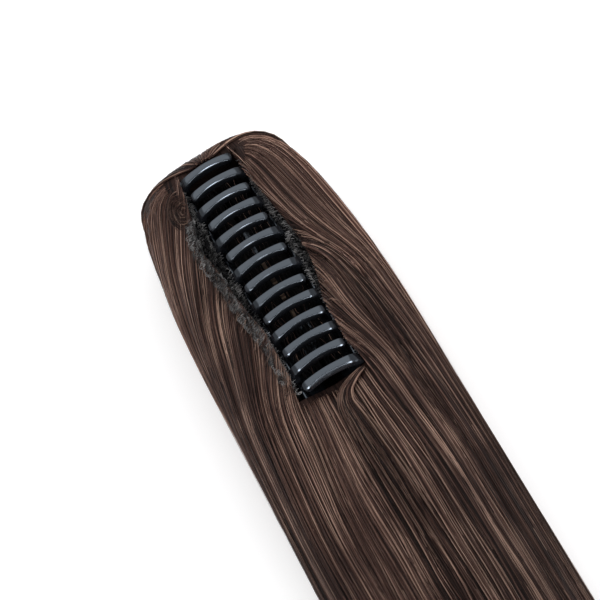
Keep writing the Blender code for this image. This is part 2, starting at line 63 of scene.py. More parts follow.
MM = 0.001
PIN_LOW, PIN_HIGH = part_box("hinge_pin")
JAW_LOW, JAW_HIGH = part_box("left_jaw")
TAIL_LOW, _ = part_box("tail_hair")
CLIP_PLACE = Vector(((PIN_LOW.x + PIN_HIGH.x) / 2, (PIN_LOW.y + PIN_HIGH.y) / 2, 0.0))
HINGE_HEIGHT = (PIN_LOW.z + PIN_HIGH.z) / 2
JAW_LENGTH = JAW_HIGH.y - JAW_LOW.y
JAW_HALF = JAW_LENGTH / 2
TAIL_LENGTH = JAW_LOW.y - TAIL_LOW.y
TAIL_END = -JAW_HALF - TAIL_LENGTH
TINE_RISE = 27.0 * MM
TINE_DEPTH = 3.2 * MM
LIP_DROP = 0.7 * MM
CREST_HEIGHT = HINGE_HEIGHT + TINE_RISE - LIP_DROP
SWING_RADIUS = 27.8 * MM
LEVER_SWING_RADIUS = 20.3 * MM
SWING_REACH = math.radians(96.0)


class Side(Enum):
    """The two halves of the hair and of the clip, as the sign of X."""

    LEFT = -1
    RIGHT = 1

    @property
    def word(self) -> str:
        """The side's name in piece names."""
        return self.name.lower()

    @classmethod
    def of(cls, x: float) -> "Side":
        """The side on which a place across the clip lies."""
        return cls.RIGHT if x > 0 else cls.LEFT

    def pick(self, left: float, right: float) -> float:
        """This side's own one of two values."""
        return right if self is Side.RIGHT else left


class Slot(Enum):
    """The record's material slots for the pieces made here; they are passed along but none is
    assigned.
    """

    HAIR = "brown_hair"
    PLASTIC = "black_plastic"
    THREAD = "weft_thread"


def shares(count: int) -> list[float]:
    """Even shares from 0 to 1."""
    return [i / (count - 1) for i in range(count)]


def blend(low: float, high: float, share: float) -> float:
    """A value between two."""
    return low + (high - low) * share


def ease(share: float) -> float:
    """A smooth step from 0 to 1."""
    share = min(max(share, 0.0), 1.0)
    return share * share * (3 - 2 * share)


def on_arc(side: Side, radius: float, turn: float, y: float) -> Vector:
    """A point about the hinge axis, the angle counted from straight up."""
    x = side.value * radius * math.sin(turn)
    return Vector((x, y, HINGE_HEIGHT + radius * math.cos(turn)))


def over_swing(across: float, gap: float) -> float:
    """Height that clears the jaws' swing by a gap, at a place across the clip."""
    return HINGE_HEIGHT + math.sqrt(SWING_RADIUS**2 - across**2) + gap


def operator(operation: str, swapped: bool = False) -> Callable[..., "Socket"]:
    """Make a method of Socket that adds a Math node.

    Args:
        operation: Blender's name of the operation.
        swapped: True if the socket itself is the last operand.

    Returns:
        The method.
    """

    def method(self: "Socket", *others: "Socket | float") -> "Socket":
        """Add the node and give its output."""
        operands = (*others, self) if swapped else (self, *others)
        return self.graph.node("ShaderNodeMath", {"operation": operation}, dict(enumerate(operands)))

    return method


class Socket:
    """An output of a node, with the operators that node maths needs."""

    def __init__(self, graph: "Graph", out: bpy.types.NodeSocket | None) -> None:
        """Keep the graph and the output."""
        self.graph, self.out = graph, out

    def of(self, name: str) -> "Socket":
        """Another output of the same node, by its name."""
        return Socket(self.graph, Graph.find(self.out.node.outputs, name))

    __add__, __radd__ = operator("ADD"), operator("ADD", True)
    __sub__, __rsub__ = operator("SUBTRACT"), operator("SUBTRACT", True)
    __mul__, __rmul__ = operator("MULTIPLY"), operator("MULTIPLY", True)
    __truediv__, __pow__ = operator("DIVIDE"), operator("POWER")
    floor, cos, sin = operator("FLOOR"), operator("COSINE"), operator("SINE")
    least, most = operator("MINIMUM"), operator("MAXIMUM")

    def clamp(self, low: float = 0.0, high: float = 1.0) -> "Socket":
        """self kept between two values."""
        return self.most(low).least(high)


class Graph:
    """A node tree that is written as calls and expressions."""

    def __init__(self, tree: bpy.types.NodeTree) -> None:
        """Keep the tree."""
        self.tree = tree

    @staticmethod
    def find(sockets: bpy.types.bpy_prop_collection, name: str | int) -> bpy.types.NodeSocket:
        """The socket with that name or number, past those that are switched off.

        Args:
            sockets: A node's inputs or outputs.
            name: The socket's name or number.

        Returns:
            The socket.
        """
        if isinstance(name, int):
            return sockets[name]
        return next(socket for socket in sockets if socket.name == name and socket.enabled)

    def node(self, kind: str, settings: dict | None = None, values: dict | None = None) -> Socket:
        """Add one node.

        Args:
            kind: Blender's name of the node's type.
            settings: Properties, set first; "stops" gives a colour ramp's stops.
            values: Values or links of its inputs, by name or number.

        Returns:
            The node's first output.
        """
        made = self.tree.nodes.new(kind)
        for name, value in (settings or {}).items():
            if name == "stops":
                self.set_stops(made.color_ramp, value)
            else:
                setattr(made, name, value)
        for name, value in (values or {}).items():
            socket = self.find(made.inputs, name)
            if isinstance(value, Socket):
                self.tree.links.new(value.out, socket)
            else:
                socket.default_value = value
        shown = [out for out in made.outputs if out.enabled]
        return Socket(self, shown[0] if shown else None)

    @staticmethod
    def set_stops(ramp: bpy.types.ColorRamp, stops: tuple) -> None:
        """Give a colour ramp its stops, each a place and a colour.

        Args:
            ramp: The ramp.
            stops: Its stops, in order.
        """
        while len(ramp.elements) < len(stops):
            ramp.elements.new(1.0)
        for element, (place, colour) in zip(ramp.elements, stops):
            element.position = place
            element.color = (*colour, 1.0)

    def scaled(self, vector: Socket, share: Socket) -> Socket:
        """A vector or colour made larger or smaller."""
        values = {0: vector, "Scale": share}
        return self.node("ShaderNodeVectorMath", {"operation": "SCALE"}, values)

    def combine(self, x: Socket | float, y: Socket | float, z: Socket | float = 0.0) -> Socket:
        """A vector from three numbers."""
        return self.node("ShaderNodeCombineXYZ", {}, {"X": x, "Y": y, "Z": z})

    def noise(self, place: Socket, scale: float = 1.0, detail: float = 2.0) -> Socket:
        """Smooth noise about one half, read at a place."""
        values = {"Vector": place, "Scale": scale, "Detail": detail}
        return self.node("ShaderNodeTexNoise", {}, values)


class ShaderGraph(Graph):
    """The node tree of a material that ends in one Principled shader."""

    def __init__(self, name: str) -> None:
        """Make the material and clear its tree.

        Args:
            name: The material's name.
        """
        self.material = bpy.data.materials.new(name)
        self.material.use_nodes = True
        super().__init__(self.material.node_tree)
        self.tree.nodes.clear()

    def attribute(self, name: str) -> Socket:
        """A number that the mesh carries."""
        return self.node("ShaderNodeAttribute", {"attribute_name": name}).of("Fac")

    def grain(self, scale: float, detail: float = 2.0) -> Socket:
        """Smooth noise on object coordinates."""
        return self.noise(self.node("ShaderNodeTexCoord").of("Object"), scale, detail)

    def ramp(self, value: Socket, stops: tuple) -> Socket:
        """A colour read off a ramp."""
        return self.node("ShaderNodeValToRGB", {"stops": stops}, {"Fac": value})

    def mix(self, share: Socket | float, first: Socket | tuple, second: Socket | tuple) -> Socket:
        """A colour between two.

        Args:
            share: How much of the second colour.
            first: The colour at 0.
            second: The colour at 1.

        Returns:
            The mixed colour.
        """
        ends = [end if isinstance(end, Socket) else (*end, 1.0) for end in (first, second)]
        values = {"Factor": share, "A": ends[0], "B": ends[1]}
        return self.node("ShaderNodeMix", {"data_type": "RGBA"}, values)

    def bump(self, height: Socket, distance: float) -> Socket:
        """A normal from a height."""
        values = {"Height": height, "Distance": distance, "Strength": 1.0}
        return self.node("ShaderNodeBump", {}, values)

    def finish(self, colour: Socket, roughness: Socket | float, more: dict) -> Material:
        """Close the tree with a Principled shader.

        Args:
            colour: Its base colour.
            roughness: Its roughness.
            more: Its other inputs by name.

        Returns:
            The material.
        """
        values = {"Base Color": colour, "Roughness": roughness, **more}
        shader = self.node("ShaderNodeBsdfPrincipled", {}, values)
        self.node("ShaderNodeOutputMaterial", {}, {"Surface": shader})
        return self.material


@dataclass(frozen=True)
class HairFinish:
    """Brown hair: a colour for each strand, with a painted rim light that makes the thin outer edges
    of the head redder and paler, and a painted sheen that brightens the strands towards the head.
    """

    name: str
    dark: tuple = (0.0075, 0.0038, 0.0033)
    middle: tuple = (0.039, 0.0195, 0.0162)
    light: tuple = (0.130, 0.072, 0.056)
    palest: tuple = (0.360, 0.235, 0.180)
    # edge: colour of the painted rim light, the light shining through the thin outer hair; the next
    # three sizes place and weigh it.
    edge: tuple = (0.200, 0.098, 0.070)
    rim_light_reach: float = 0.44
    rim_light_fade: float = 0.24
    rim_light_share: float = 0.6
    # Painted sheen: strands are brighter over the first part of their run, the head's top where the
    # overhead light falls.
    head_sheen_reach: float = 0.32
    head_sheen_gain: float = 0.58
    tail_gain: float = 0.80
    roughness: float = 0.38
    gloss: float = 0.16
    patch_scale: float = 30.0

    def material(self) -> Material:
        """Build the material from the strands' attributes.

        Returns:
            The material.
        """
        graph = ShaderGraph(self.name)
        tone, place = graph.attribute("tone"), graph.attribute("place")
        # Painted sheen of the overhead light: brighter towards the head, darker down the tail.
        head = ((self.head_sheen_reach - graph.attribute("along")) / self.head_sheen_reach).clamp()
        patch = graph.grain(self.patch_scale)
        stops = ((0.0, self.dark), (0.45, self.middle), (0.86, self.light), (1.0, self.palest))
        colour = graph.ramp((tone + (patch - 0.5) * 0.5).clamp(), stops)
        # Painted rim light: strands near the foot of the flank are tinted redder and paler, as light
        # shining through thin hair.
        painted_rim_light = ((self.rim_light_reach - place) / self.rim_light_fade).clamp() * self.rim_light_share
        colour = graph.mix(painted_rim_light * (tone * 1.6).clamp(), colour, self.edge)
        colour = graph.scaled(colour, head * self.head_sheen_gain + self.tail_gain)
        roughness = self.roughness + (tone - 0.5) * 0.12
        return graph.finish(colour, roughness, {"Specular IOR Level": self.gloss})


@dataclass(frozen=True)
class UnderHairFinish:
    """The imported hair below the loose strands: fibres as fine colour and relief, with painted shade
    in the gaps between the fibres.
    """

    name: str
    # gap: painted shade between the fibres.
    gap: tuple = (0.005, 0.003, 0.0027)
    fibre: tuple = (0.046, 0.0245, 0.020)
    roughness: float = 0.6
    gloss: float = 0.08
    fine: tuple = (260.0, 9.0)
    broad: tuple = (30.0, 3.0)
    relief: float = 0.25 * MM

    def material(self) -> Material:
        """Build the material on the flow map, whose U runs across the strands.

        Returns:
            The material.
        """
        graph = ShaderGraph(self.name)
        flow = graph.node("ShaderNodeUVMap", {"uv_map": "flow"})
        parts = graph.node("ShaderNodeSeparateXYZ", {}, {"Vector": flow})
        across, along = parts.of("X"), parts.of("Y")
        fine = graph.combine(across * self.fine[0], along * self.fine[1])
        broad = graph.combine(across * self.broad[0], along * self.broad[1])
        height = graph.noise(fine, 1.0, 3.0) * 0.7 + graph.noise(broad) * 0.3
        # Painted shade: the low places between the fibres take the dark gap colour.
        colour = graph.ramp(height, ((0.38, self.gap), (0.66, self.fibre)))
        relief = graph.bump(height, self.relief)
        return graph.finish(
            colour, self.roughness, {"Specular IOR Level": self.gloss, "Normal": relief}
        )


@dataclass(frozen=True)
class PlasticFinish:
    """Moulded glossy black plastic with faint smears."""

    name: str
    colour: tuple = (0.0055, 0.006, 0.0075)
    roughness: float = 0.10
    smear: float = 0.10
    smear_scale: float = 210.0
    ripple: float = 0.012 * MM
    cool: tuple = (0.74, 0.86, 1.0)
    gloss: float = 0.85

    def material(self) -> Material:
        """Build the material on object coordinates.

        Returns:
            The material.
        """
        graph = ShaderGraph(self.name)
        smear = graph.grain(self.smear_scale, 3.0)
        more = {
            "Normal": graph.bump(graph.grain(self.smear_scale * 2.0, 1.0), self.ripple),
            "Specular IOR Level": self.gloss,
            "Specular Tint": (*self.cool, 1.0),
        }
        lift = graph.mix(smear, self.colour, tuple(c * 1.8 for c in self.colour))
        return graph.finish(lift, self.roughness + (smear - 0.35).clamp() * self.smear, more)


@dataclass(frozen=True)
class SteelFinish:
    """Drawn spring steel, coppery and kept dark, the darkness partly painted shade for its place deep
    inside the clip.
    """

    name: str
    # colour: coppery tone, darkened partly as painted shade inside the clip.
    colour: tuple = (0.30, 0.23, 0.18)
    worn: tuple = (0.14, 0.09, 0.06)
    roughness: float = 0.34
    drawn: float = 900.0

    def material(self) -> Material:
        """Build the material on object coordinates.

        Returns:
            The material.
        """
        graph = ShaderGraph(self.name)
        roughness = self.roughness + (graph.grain(self.drawn) - 0.5) * 0.2
        stained = graph.mix(graph.grain(self.drawn * 0.2), self.colour, self.worn)
        return graph.finish(stained, roughness, {"Metallic": 1.0})


@dataclass(frozen=True)
class ThreadFinish:
    """Matt black sewing thread and the short hair that it holds; a few pale threads are partly paler
    short hair and partly painted glints.
    """

    name: str
    dark: tuple = (0.003, 0.003, 0.0034)
    # light: the pale tone, partly paler short hair and partly painted glints on the curls.
    light: tuple = (0.320, 0.314, 0.312)
    roughness: float = 0.36
    gloss: float = 0.5
    twist: float = 700.0
    relief: float = 0.05 * MM

    def material(self) -> Material:
        """Build the material from the threads' own tone, whose rare pale end is partly painted
        glints.

        Returns:
            The material.
        """
        graph = ShaderGraph(self.name)
        tone, twist = graph.attribute("tone"), graph.grain(self.twist)
        # A few threads turn pale: partly paler short hair, partly painted glints of the lamps.
        share = (tone * tone * tone * 1.2 + (twist - 0.5) * 0.3).clamp()
        more = {"Specular IOR Level": self.gloss, "Normal": graph.bump(twist, self.relief)}
        colour = graph.mix(share, self.dark, self.light)
        return graph.finish(colour, self.roughness + (twist - 0.5) * 0.2, more)


@dataclass(frozen=True)
class FloorFinish:
    """Pale seamless studio floor."""

    name: str
    colour: tuple = (0.90, 0.90, 0.905)
    shade: tuple = (0.86, 0.86, 0.868)
    glow: float = 0.30

    def material(self) -> Material:
        """Build the material on object coordinates.

        Returns:
            The material.
        """
        graph = ShaderGraph(self.name)
        colour = graph.mix(graph.grain(3.0), self.colour, self.shade)
        glow = {"Emission Color": (1.0, 1.0, 1.0, 1.0), "Emission Strength": self.glow}
        return graph.finish(colour, 0.75, glow)


class Table:
    """Rows of numbers that are read smoothly along their first column."""

    def __init__(self, rows: tuple | list) -> None:
        """Sort the rows by their first column."""
        self.rows = sorted(rows)

    def at(self, place: float) -> tuple[float, ...]:
        """Read every other column at one place.

        Args:
            place: A value of the first column; outside the rows the end row holds.

        Returns:
            The other columns' values.
        """
        rows = self.rows
        if place <= rows[0][0]:
            return tuple(rows[0][1:])
        if place >= rows[-1][0]:
            return tuple(rows[-1][1:])
        i = next(k for k in range(len(rows) - 1) if rows[k][0] <= place <= rows[k + 1][0])
        before, low = rows[max(i - 1, 0)], rows[i]
        high, after = rows[i + 1], rows[min(i + 2, len(rows) - 1)]
        span = high[0] - low[0]
        t = (place - low[0]) / span
        values = []
        for c in range(1, len(low)):
            slope_low = (high[c] - before[c]) / max(high[0] - before[0], span) * span
            slope_high = (after[c] - low[c]) / max(after[0] - low[0], span) * span
            values.append(
                (2 * t**3 - 3 * t**2 + 1) * low[c]
                + (t**3 - 2 * t**2 + t) * slope_low
                + (3 * t**2 - 2 * t**3) * high[c]
                + (t**3 - t**2) * slope_high
            )
        return tuple(values)

    @classmethod
    def even(cls, rows: tuple) -> "Table":
        """A table whose rows lie evenly from 0 to 1."""
        return cls([(share, *row) for share, row in zip(shares(len(rows)), rows)])


# Hair over the clip, from the crown back: along as a share of half the jaw length, the
# two half widths as shares of the head's half width, and the top, the widest height and
# the underside as shares of the crest's height.
HEAD_SECTIONS = (
    # along, left, right, top, middle, under
    (1.240, 0.04, 0.04, 0.480, 0.455, 0.43),
    (1.238, 0.16, 0.16, 0.53, 0.455, 0.39),
    (1.232, 0.36, 0.34, 0.61, 0.450, 0.32),
    (1.222, 0.63, 0.56, 0.74, 0.44, 0.17),
    (1.192, 0.76, 0.69, 0.86, 0.43, 0.09),
    (1.130, 0.825, 0.765, 0.95, 0.42, 0.03),
    (1.050, 0.855, 0.805, 0.992, 0.42, 0.0),
    (0.960, 0.875, 0.835, 1.005, 0.42, 0.0),
    (0.800, 0.900, 0.870, 1.0, 0.42, 0.0),
    (0.600, 0.940, 0.910, 1.0, 0.42, 0.0),
    (0.300, 0.985, 0.945, 1.0, 0.42, 0.0),
    (0.000, 1.010, 0.968, 1.0, 0.42, 0.0),
    (-0.400, 1.015, 0.982, 1.0, 0.42, 0.0),
    (-0.800, 1.025, 0.975, 0.995, 0.42, 0.0),
    (-1.000, 1.030, 0.968, 0.975, 0.42, 0.0),
)

# Hair behind the clip: along as a share of the tail's length, the rest as above.
TAIL_SECTIONS = (
    # along, left, right, top, middle, under
    (0.060, 1.045, 0.958, 0.925, 0.41, 0.0),
    (0.150, 1.065, 0.948, 0.845, 0.385, 0.0),
    (0.290, 1.085, 0.930, 0.735, 0.35, 0.0),
    (0.440, 1.095, 0.910, 0.635, 0.30, 0.0),
    (0.600, 1.060, 0.890, 0.545, 0.26, 0.0),
    (0.740, 0.970, 0.840, 0.460, 0.22, 0.0),
    (0.840, 0.850, 0.760, 0.350, 0.17, 0.0),
    (0.900, 0.770, 0.700, 0.270, 0.13, 0.0),
    (0.950, 0.700, 0.640, 0.190, 0.09, 0.0),
    (1.000, 0.620, 0.570, 0.110, 0.05, 0.0),
)

# Edge of the mouth that shows the clip: along as a share of half the jaw length, and
# the two half widths as shares of the mouth's half width.
MOUTH_EDGE = (
    # along, left, right
    (1.08, 0.75, 0.75),
    (0.80, 0.77, 0.76),
    (0.66, 0.85, 0.76),
    (0.54, 0.99, 0.79),
    (0.36, 1.08, 0.87),
    (0.14, 0.99, 0.97),
    (-0.10, 0.94, 1.01),
    (-0.34, 0.87, 0.92),
    (-0.54, 0.80, 0.79),
    (-0.80, 0.81, 0.76),
    (-1.08, 0.82, 0.76),
)

# Strands that have left the clip by a place along it, as shares of all the strands of
# their side: along as a share of half the jaw length.
STARTED = (
    # along, left, right
    (1.00, 0.46, 0.60),
    (0.70, 0.49, 0.61),
    (0.35, 0.54, 0.62),
    (0.10, 0.59, 0.63),
    (0.00, 0.62, 0.64),
    (-0.16, 0.66, 0.74),
    (-0.50, 0.73, 0.78),
    (-0.80, 0.80, 0.82),
    (-1.00, 0.85, 0.86),
)


@dataclass
class HairForm:
    """Outer form of the hair, and the way that its strands run over it."""

    half_width: float = 45.0 * MM
    mouth_half_width: float = 19.5 * MM
    power: float = 2.5
    under_flatten: float = 1.3
    flank_start: float = math.radians(-62.0)
    dip_width: float = 0.30
    dip_depth: float = 0.10
    dip_end: float = 0.30
    dip_power: float = 1.6
    notch_depth: float = 0.035
    notch_width: float = 0.12
    lock_relief: float = 1.2 * MM
    locks: float = 7.0
    closing: float = 55.0 * MM
    fan_end: float = 0.80
    fan_swell: float = 11.4 * MM
    root_depth: float = 6.0 * MM
    lip_overlap: float = 1.8 * MM
    lip_gap: float = 0.9 * MM
    end_gap: float = 3.2 * MM
    steps: int = 64
    sections: Table = field(init=False)
    mouth: Table = field(init=False)
    started_table: Table = field(init=False)

    def __post_init__(self) -> None:
        """Join the tables of the head and the tail."""
        rows = [(along * JAW_HALF, *rest) for along, *rest in HEAD_SECTIONS]
        rows += [(-JAW_HALF - along * TAIL_LENGTH, *rest) for along, *rest in TAIL_SECTIONS]
        self.sections = Table(rows)
        self.mouth = Table([(along * JAW_HALF, *rest) for along, *rest in MOUTH_EDGE])
        self.started_table = Table([(along * JAW_HALF, *rest) for along, *rest in STARTED])

    def section(self, side: Side, y: float) -> tuple[float, float, float, float]:
        """Half width, top, widest height and underside of one side at a place along Y.

        Args:
            side: The side.
            y: The place along the hair.

        Returns:
            The four lengths, in that order.
        """
        left, right, top, middle, under = self.sections.at(y)
        width = side.pick(left, right) * self.half_width
        return width, top * CREST_HEIGHT, middle * CREST_HEIGHT, max(under, 0.0) * CREST_HEIGHT

    def lip(self, side: Side, y: float) -> float:
        """Half width of the mouth at a place along the clip."""
        return side.pick(*self.mouth.at(y)) * self.mouth_half_width

    def started(self, side: Side, y: float) -> float:
        """Share of the side's strands that have left the clip by this place."""
        return side.pick(*self.started_table.at(y))

    def rise_of(self, side: Side, share: float, y: float) -> float:
        """Rise at which a strand runs at a place along the hair.

        Args:
            side: The side.
            share: The strand's place among those of its side.
            y: The place along the hair.

        Returns:
            Its rise, which behind the clip tends to its share.
        """
        if y >= -JAW_HALF:
            return min(share / self.started(side, y), 1.0) * self.lip_rise(side, y)
        last, edge = self.started(side, -JAW_HALF), self.lip_rise(side, -JAW_HALF)
        near = max(share - last, 0.0) / (1 - last)
        first = min(share / last, 1.0) * edge + near * (1 - edge)
        return blend(first, share, ease((-JAW_HALF - y) / self.closing))

    def start_of(self, side: Side, share: float) -> float:
        """Place along Y where a strand leaves the clip.

        Args:
            side: The side.
            share: The strand's place among those of its side.

        Returns:
            The place.
        """
        places = np.linspace(JAW_HALF, -JAW_HALF, 200)
        started = [self.started(side, max(y, -JAW_HALF)) for y in places]
        return float(np.interp(share, started, places))

    def valley(self, x: float, y: float) -> float:
        """How far the hair sinks between its two sides.

        Args:
            x: The place across the clip.
            y: The place along the hair.

        Returns:
            The depth.
        """
        behind = min(max((-JAW_HALF - y) / (self.dip_end * TAIL_LENGTH), 0.0), 1.0)
        deep = 0.0
        if y < -JAW_HALF / 2:
            deep = self.dip_depth * CREST_HEIGHT * (1 - behind) ** self.dip_power
        sunk = deep * math.exp(-((x / (self.dip_width * self.half_width)) ** 2))
        if y > JAW_HALF:
            narrow = self.notch_width * self.half_width
            sunk += self.notch_depth * CREST_HEIGHT * math.exp(-((x / narrow) ** 2))
        return sunk

    def rise_at(self, across: float, width: float) -> float:
        """Rise over the flank of a place across the top of a section."""
        turn = math.acos(min(across / width, 1.0) ** (self.power / 2))
        return (turn - self.flank_start) / (math.pi / 2 - self.flank_start)

    def lip_rise(self, side: Side, y: float) -> float:
        """Rise over the flank at which the mouth's edge lies."""
        return self.rise_at(self.lip(side, y), self.section(side, y)[0])

    def point(self, side: Side, rise: float, y: float, inset: float = 0.0) -> Vector:
        """A point of the form.

        Args:
            side: The side.
            rise: 0 at the foot of the flank to 1 at the middle of the top.
            y: The place along the hair.
            inset: How far inside the outer form.

        Returns:
            The point in the clip's frame.
        """
        width, top, middle, under = self.section(side, y)
        inset = min(inset, (top - middle) * 0.4)
        turn = self.flank_start + (math.pi / 2 - self.flank_start) * rise
        c, s = max(math.cos(turn), 0.0), math.sin(turn)
        x = c ** (2 / self.power) * (width - inset)
        if s > 0:
            z = middle + (top - inset - middle) * s ** (2 / self.power)
        else:
            z = middle - (middle - under) * self.under_flatten * abs(s) ** (2 / self.power)
        z -= self.valley(x, y) * max(s, 0.0)
        return Vector((side.value * x, y, max(z, under + inset * 0.4)))

    def height(self, x: float, y: float) -> float:
        """Height of the top of the hair over a point of the floor.

        Args:
            x: The place across the clip.
            y: The place along the hair.

        Returns:
            The height.
        """
        width, top, middle, _ = self.section(Side.of(x), y)
        share = min(abs(x) / width, 0.98) ** (self.power / 2)
        rise = math.sqrt(1 - share * share) ** (2 / self.power)
        return middle + (top - middle) * rise - self.valley(x, y) * rise

    def strand(self, side: Side, share: float) -> list[Vector]:
        """The whole run of one strand, from its root in the clip to its free end.

        Args:
            side: The side.
            share: 0 for the strand along the foot of the flank, 1 for the middle one.

        Returns:
            Points along it.
        """
        first = self.started(side, JAW_HALF)
        if share < first:
            points, begin = self.fan_root(side, share, first), self.fan_end * JAW_HALF
        elif share <= self.started(side, -JAW_HALF):
            begin = self.start_of(side, share)
            points = self.lip_root(side, begin)
        else:
            points, begin = self.end_root(side, share), -JAW_HALF - self.end_gap
        for run in shares(self.steps + 1)[1:]:
            y = blend(begin, TAIL_END, run**1.15)
            points.append(self.point(side, self.rise_of(side, share, y), y))
        return points

    def fan_root(self, side: Side, share: float, first: float) -> list[Vector]:
        """Root of a strand that leaves at the crown and fans out over it.

        Args:
            side: The side.
            share: The strand's place among those of its side.
            first: Share of the strands that leave at the crown.

        Returns:
            Points along the root.
        """
        near = share / first
        x = side.value * self.lip(side, JAW_HALF) * (0.04 + 0.94 * near)
        points = [
            Vector((x * 0.96, JAW_HALF + 0.8 * MM, CREST_HEIGHT - self.root_depth)),
            Vector((x, JAW_HALF + 1.0 * MM, CREST_HEIGHT - self.root_depth * 0.45)),
        ]
        begin, end = JAW_HALF + 2.0 * MM, self.fan_end * JAW_HALF
        low = self.rise_at(abs(x), self.section(side, begin)[0])
        high = near * self.lip_rise(side, end)
        peak = begin + self.fan_swell * (1 - near) ** 0.8
        for t in shares(self.steps // 2 + 1)[1:]:
            if t < 0.5:
                y = blend(begin, peak, math.sin(math.pi * t))
            else:
                y = peak - (peak - end) * (1 - math.sin(math.pi * t))
            points.append(self.point(side, blend(low, high, ease((t - 0.10) / 0.78)), y))
        return points

    def lip_root(self, side: Side, y: float) -> list[Vector]:
        """Root of a strand that comes up inside the mouth and turns over its lip.

        Args:
            side: The side.
            y: Where the strand leaves the clip.

        Returns:
            Points along the root.
        """
        inner = self.lip(side, y) - self.lip_overlap
        low = over_swing(inner, self.lip_gap)
        crest = self.point(side, self.lip_rise(side, y), y)
        return [
            Vector((side.value * inner, y + 5.0 * MM, low)),
            Vector((side.value * (inner + 0.5 * MM), y + 3.4 * MM, (low + crest.z) / 2)),
            Vector((crest.x, y + 1.6 * MM, crest.z - 0.5 * MM)),
            crest,
        ]

    def end_root(self, side: Side, share: float) -> list[Vector]:
        """Root of a strand that comes up behind the clip's last tooth.

        Args:
            side: The side.
            share: The strand's place among those of its side.

        Returns:
            Points along the root.
        """
        points = []
        for behind, depth in ((0.2, 0.75), (0.9, 0.34), (2.0, 0.08)):
            y = -JAW_HALF - behind * MM
            point = self.point(side, self.rise_of(side, share, y), y)
            points.append(point - Vector((0.0, 0.0, depth * self.root_depth)))
        return points


def resample(points: list[Vector], count: int, smoothing: int = 6) -> np.ndarray:
    """Spread points evenly along a path and smooth out its corners.

    Args:
        points: The path.
        count: How many points to return.
        smoothing: Rounds of averaging, with both ends held.

    Returns:
        An array of points.
    """
    path = np.array(points)
    for _ in range(2):
        steps = np.linalg.norm(np.diff(path, axis=0), axis=1)
        run = np.concatenate(([0.0], np.cumsum(steps)))
        places = np.linspace(0.0, run[-1], count)
        path = np.stack([np.interp(places, run, path[:, k]) for k in range(3)], axis=1)
        for _ in range(smoothing):
            path[1:-1] = path[1:-1] * 0.5 + (path[:-2] + path[2:]) * 0.25
    return path


class FlowSheet:
    """A grid over which strands run: U counts across them and V along them."""

    def __init__(self, name: str, grid: np.ndarray | list, turned: bool = False) -> None:
        """Keep the grid and work out its directions.

        Args:
            name: The sheet's name.
            grid: Points by column, then by place along the column.
            turned: True if the cross product of U and V points into the hair.
        """
        self.name, self.grid, self.turned = name, np.array(grid), turned
        across, along = np.gradient(self.grid, axis=0), np.gradient(self.grid, axis=1)
        self.across = self.unit(across)
        self.out = self.unit(np.cross(across, along) * (-1.0 if turned else 1.0))

    @staticmethod
    def unit(vectors: np.ndarray) -> np.ndarray:
        """Vectors of length one."""
        lengths = np.linalg.norm(vectors, axis=2, keepdims=True)
        return vectors / np.maximum(lengths, 1e-12)

    def mesh(self) -> Mesh:
        """The grid as a mesh with a flow map and its directions as attributes.

        Returns:
            The mesh.
        """
        columns, rows = self.grid.shape[:2]
        mesh = bpy.data.meshes.new(self.name)
        faces = [
            (i * rows + j, (i + 1) * rows + j, (i + 1) * rows + j + 1, i * rows + j + 1)
            for i in range(columns - 1)
            for j in range(rows - 1)
        ]
        if self.turned:
            faces = [face[::-1] for face in faces]
        mesh.from_pydata(self.grid.reshape(-1, 3).tolist(), [], faces)
        places = np.array([(u, v) for u in shares(columns) for v in shares(rows)])
        corners = np.zeros(len(mesh.loops), np.int32)
        mesh.loops.foreach_get("vertex_index", corners)
        mesh.uv_layers.new(name="flow").data.foreach_set("uv", places[corners].ravel())
        for name, values in (("out", self.out), ("across", self.across)):
            attribute = mesh.attributes.new(name, "FLOAT_VECTOR", "POINT")
            attribute.data.foreach_set("vector", values.reshape(-1).astype(np.float32))
        return mesh


@dataclass(frozen=True)
class StrandStyle:
    """How one coat of strands grows on its sheet. Places are shares of the sheet."""

    count: int
    steps: int
    radius: float
    start_low: float = 0.0
    start_high: float = 0.0
    reach_low: float = 0.95
    reach_high: float = 1.0
    depth_low: float = 0.0
    depth_high: float = 1.0 * MM
    wander: float = 0.012
    waver: float = 0.35 * MM
    waves: float = 5.0
    locks: float = 15.0
    gather: float = 0.8
    ragged: float = 0.14
    curl: float = 0.0
    turns: float = 0.0
    bias: float = 1.5
    bands: float = 36.0
    seed: int = 1

    @classmethod
    def loose(cls, count: int, steps: int, radius: float, **sizes: float) -> "StrandStyle":
        """A coat that isn't gathered into locks."""
        return cls(count, steps, radius, **{"gather": 0.0, "ragged": 0.0, "bias": 1.0, **sizes})


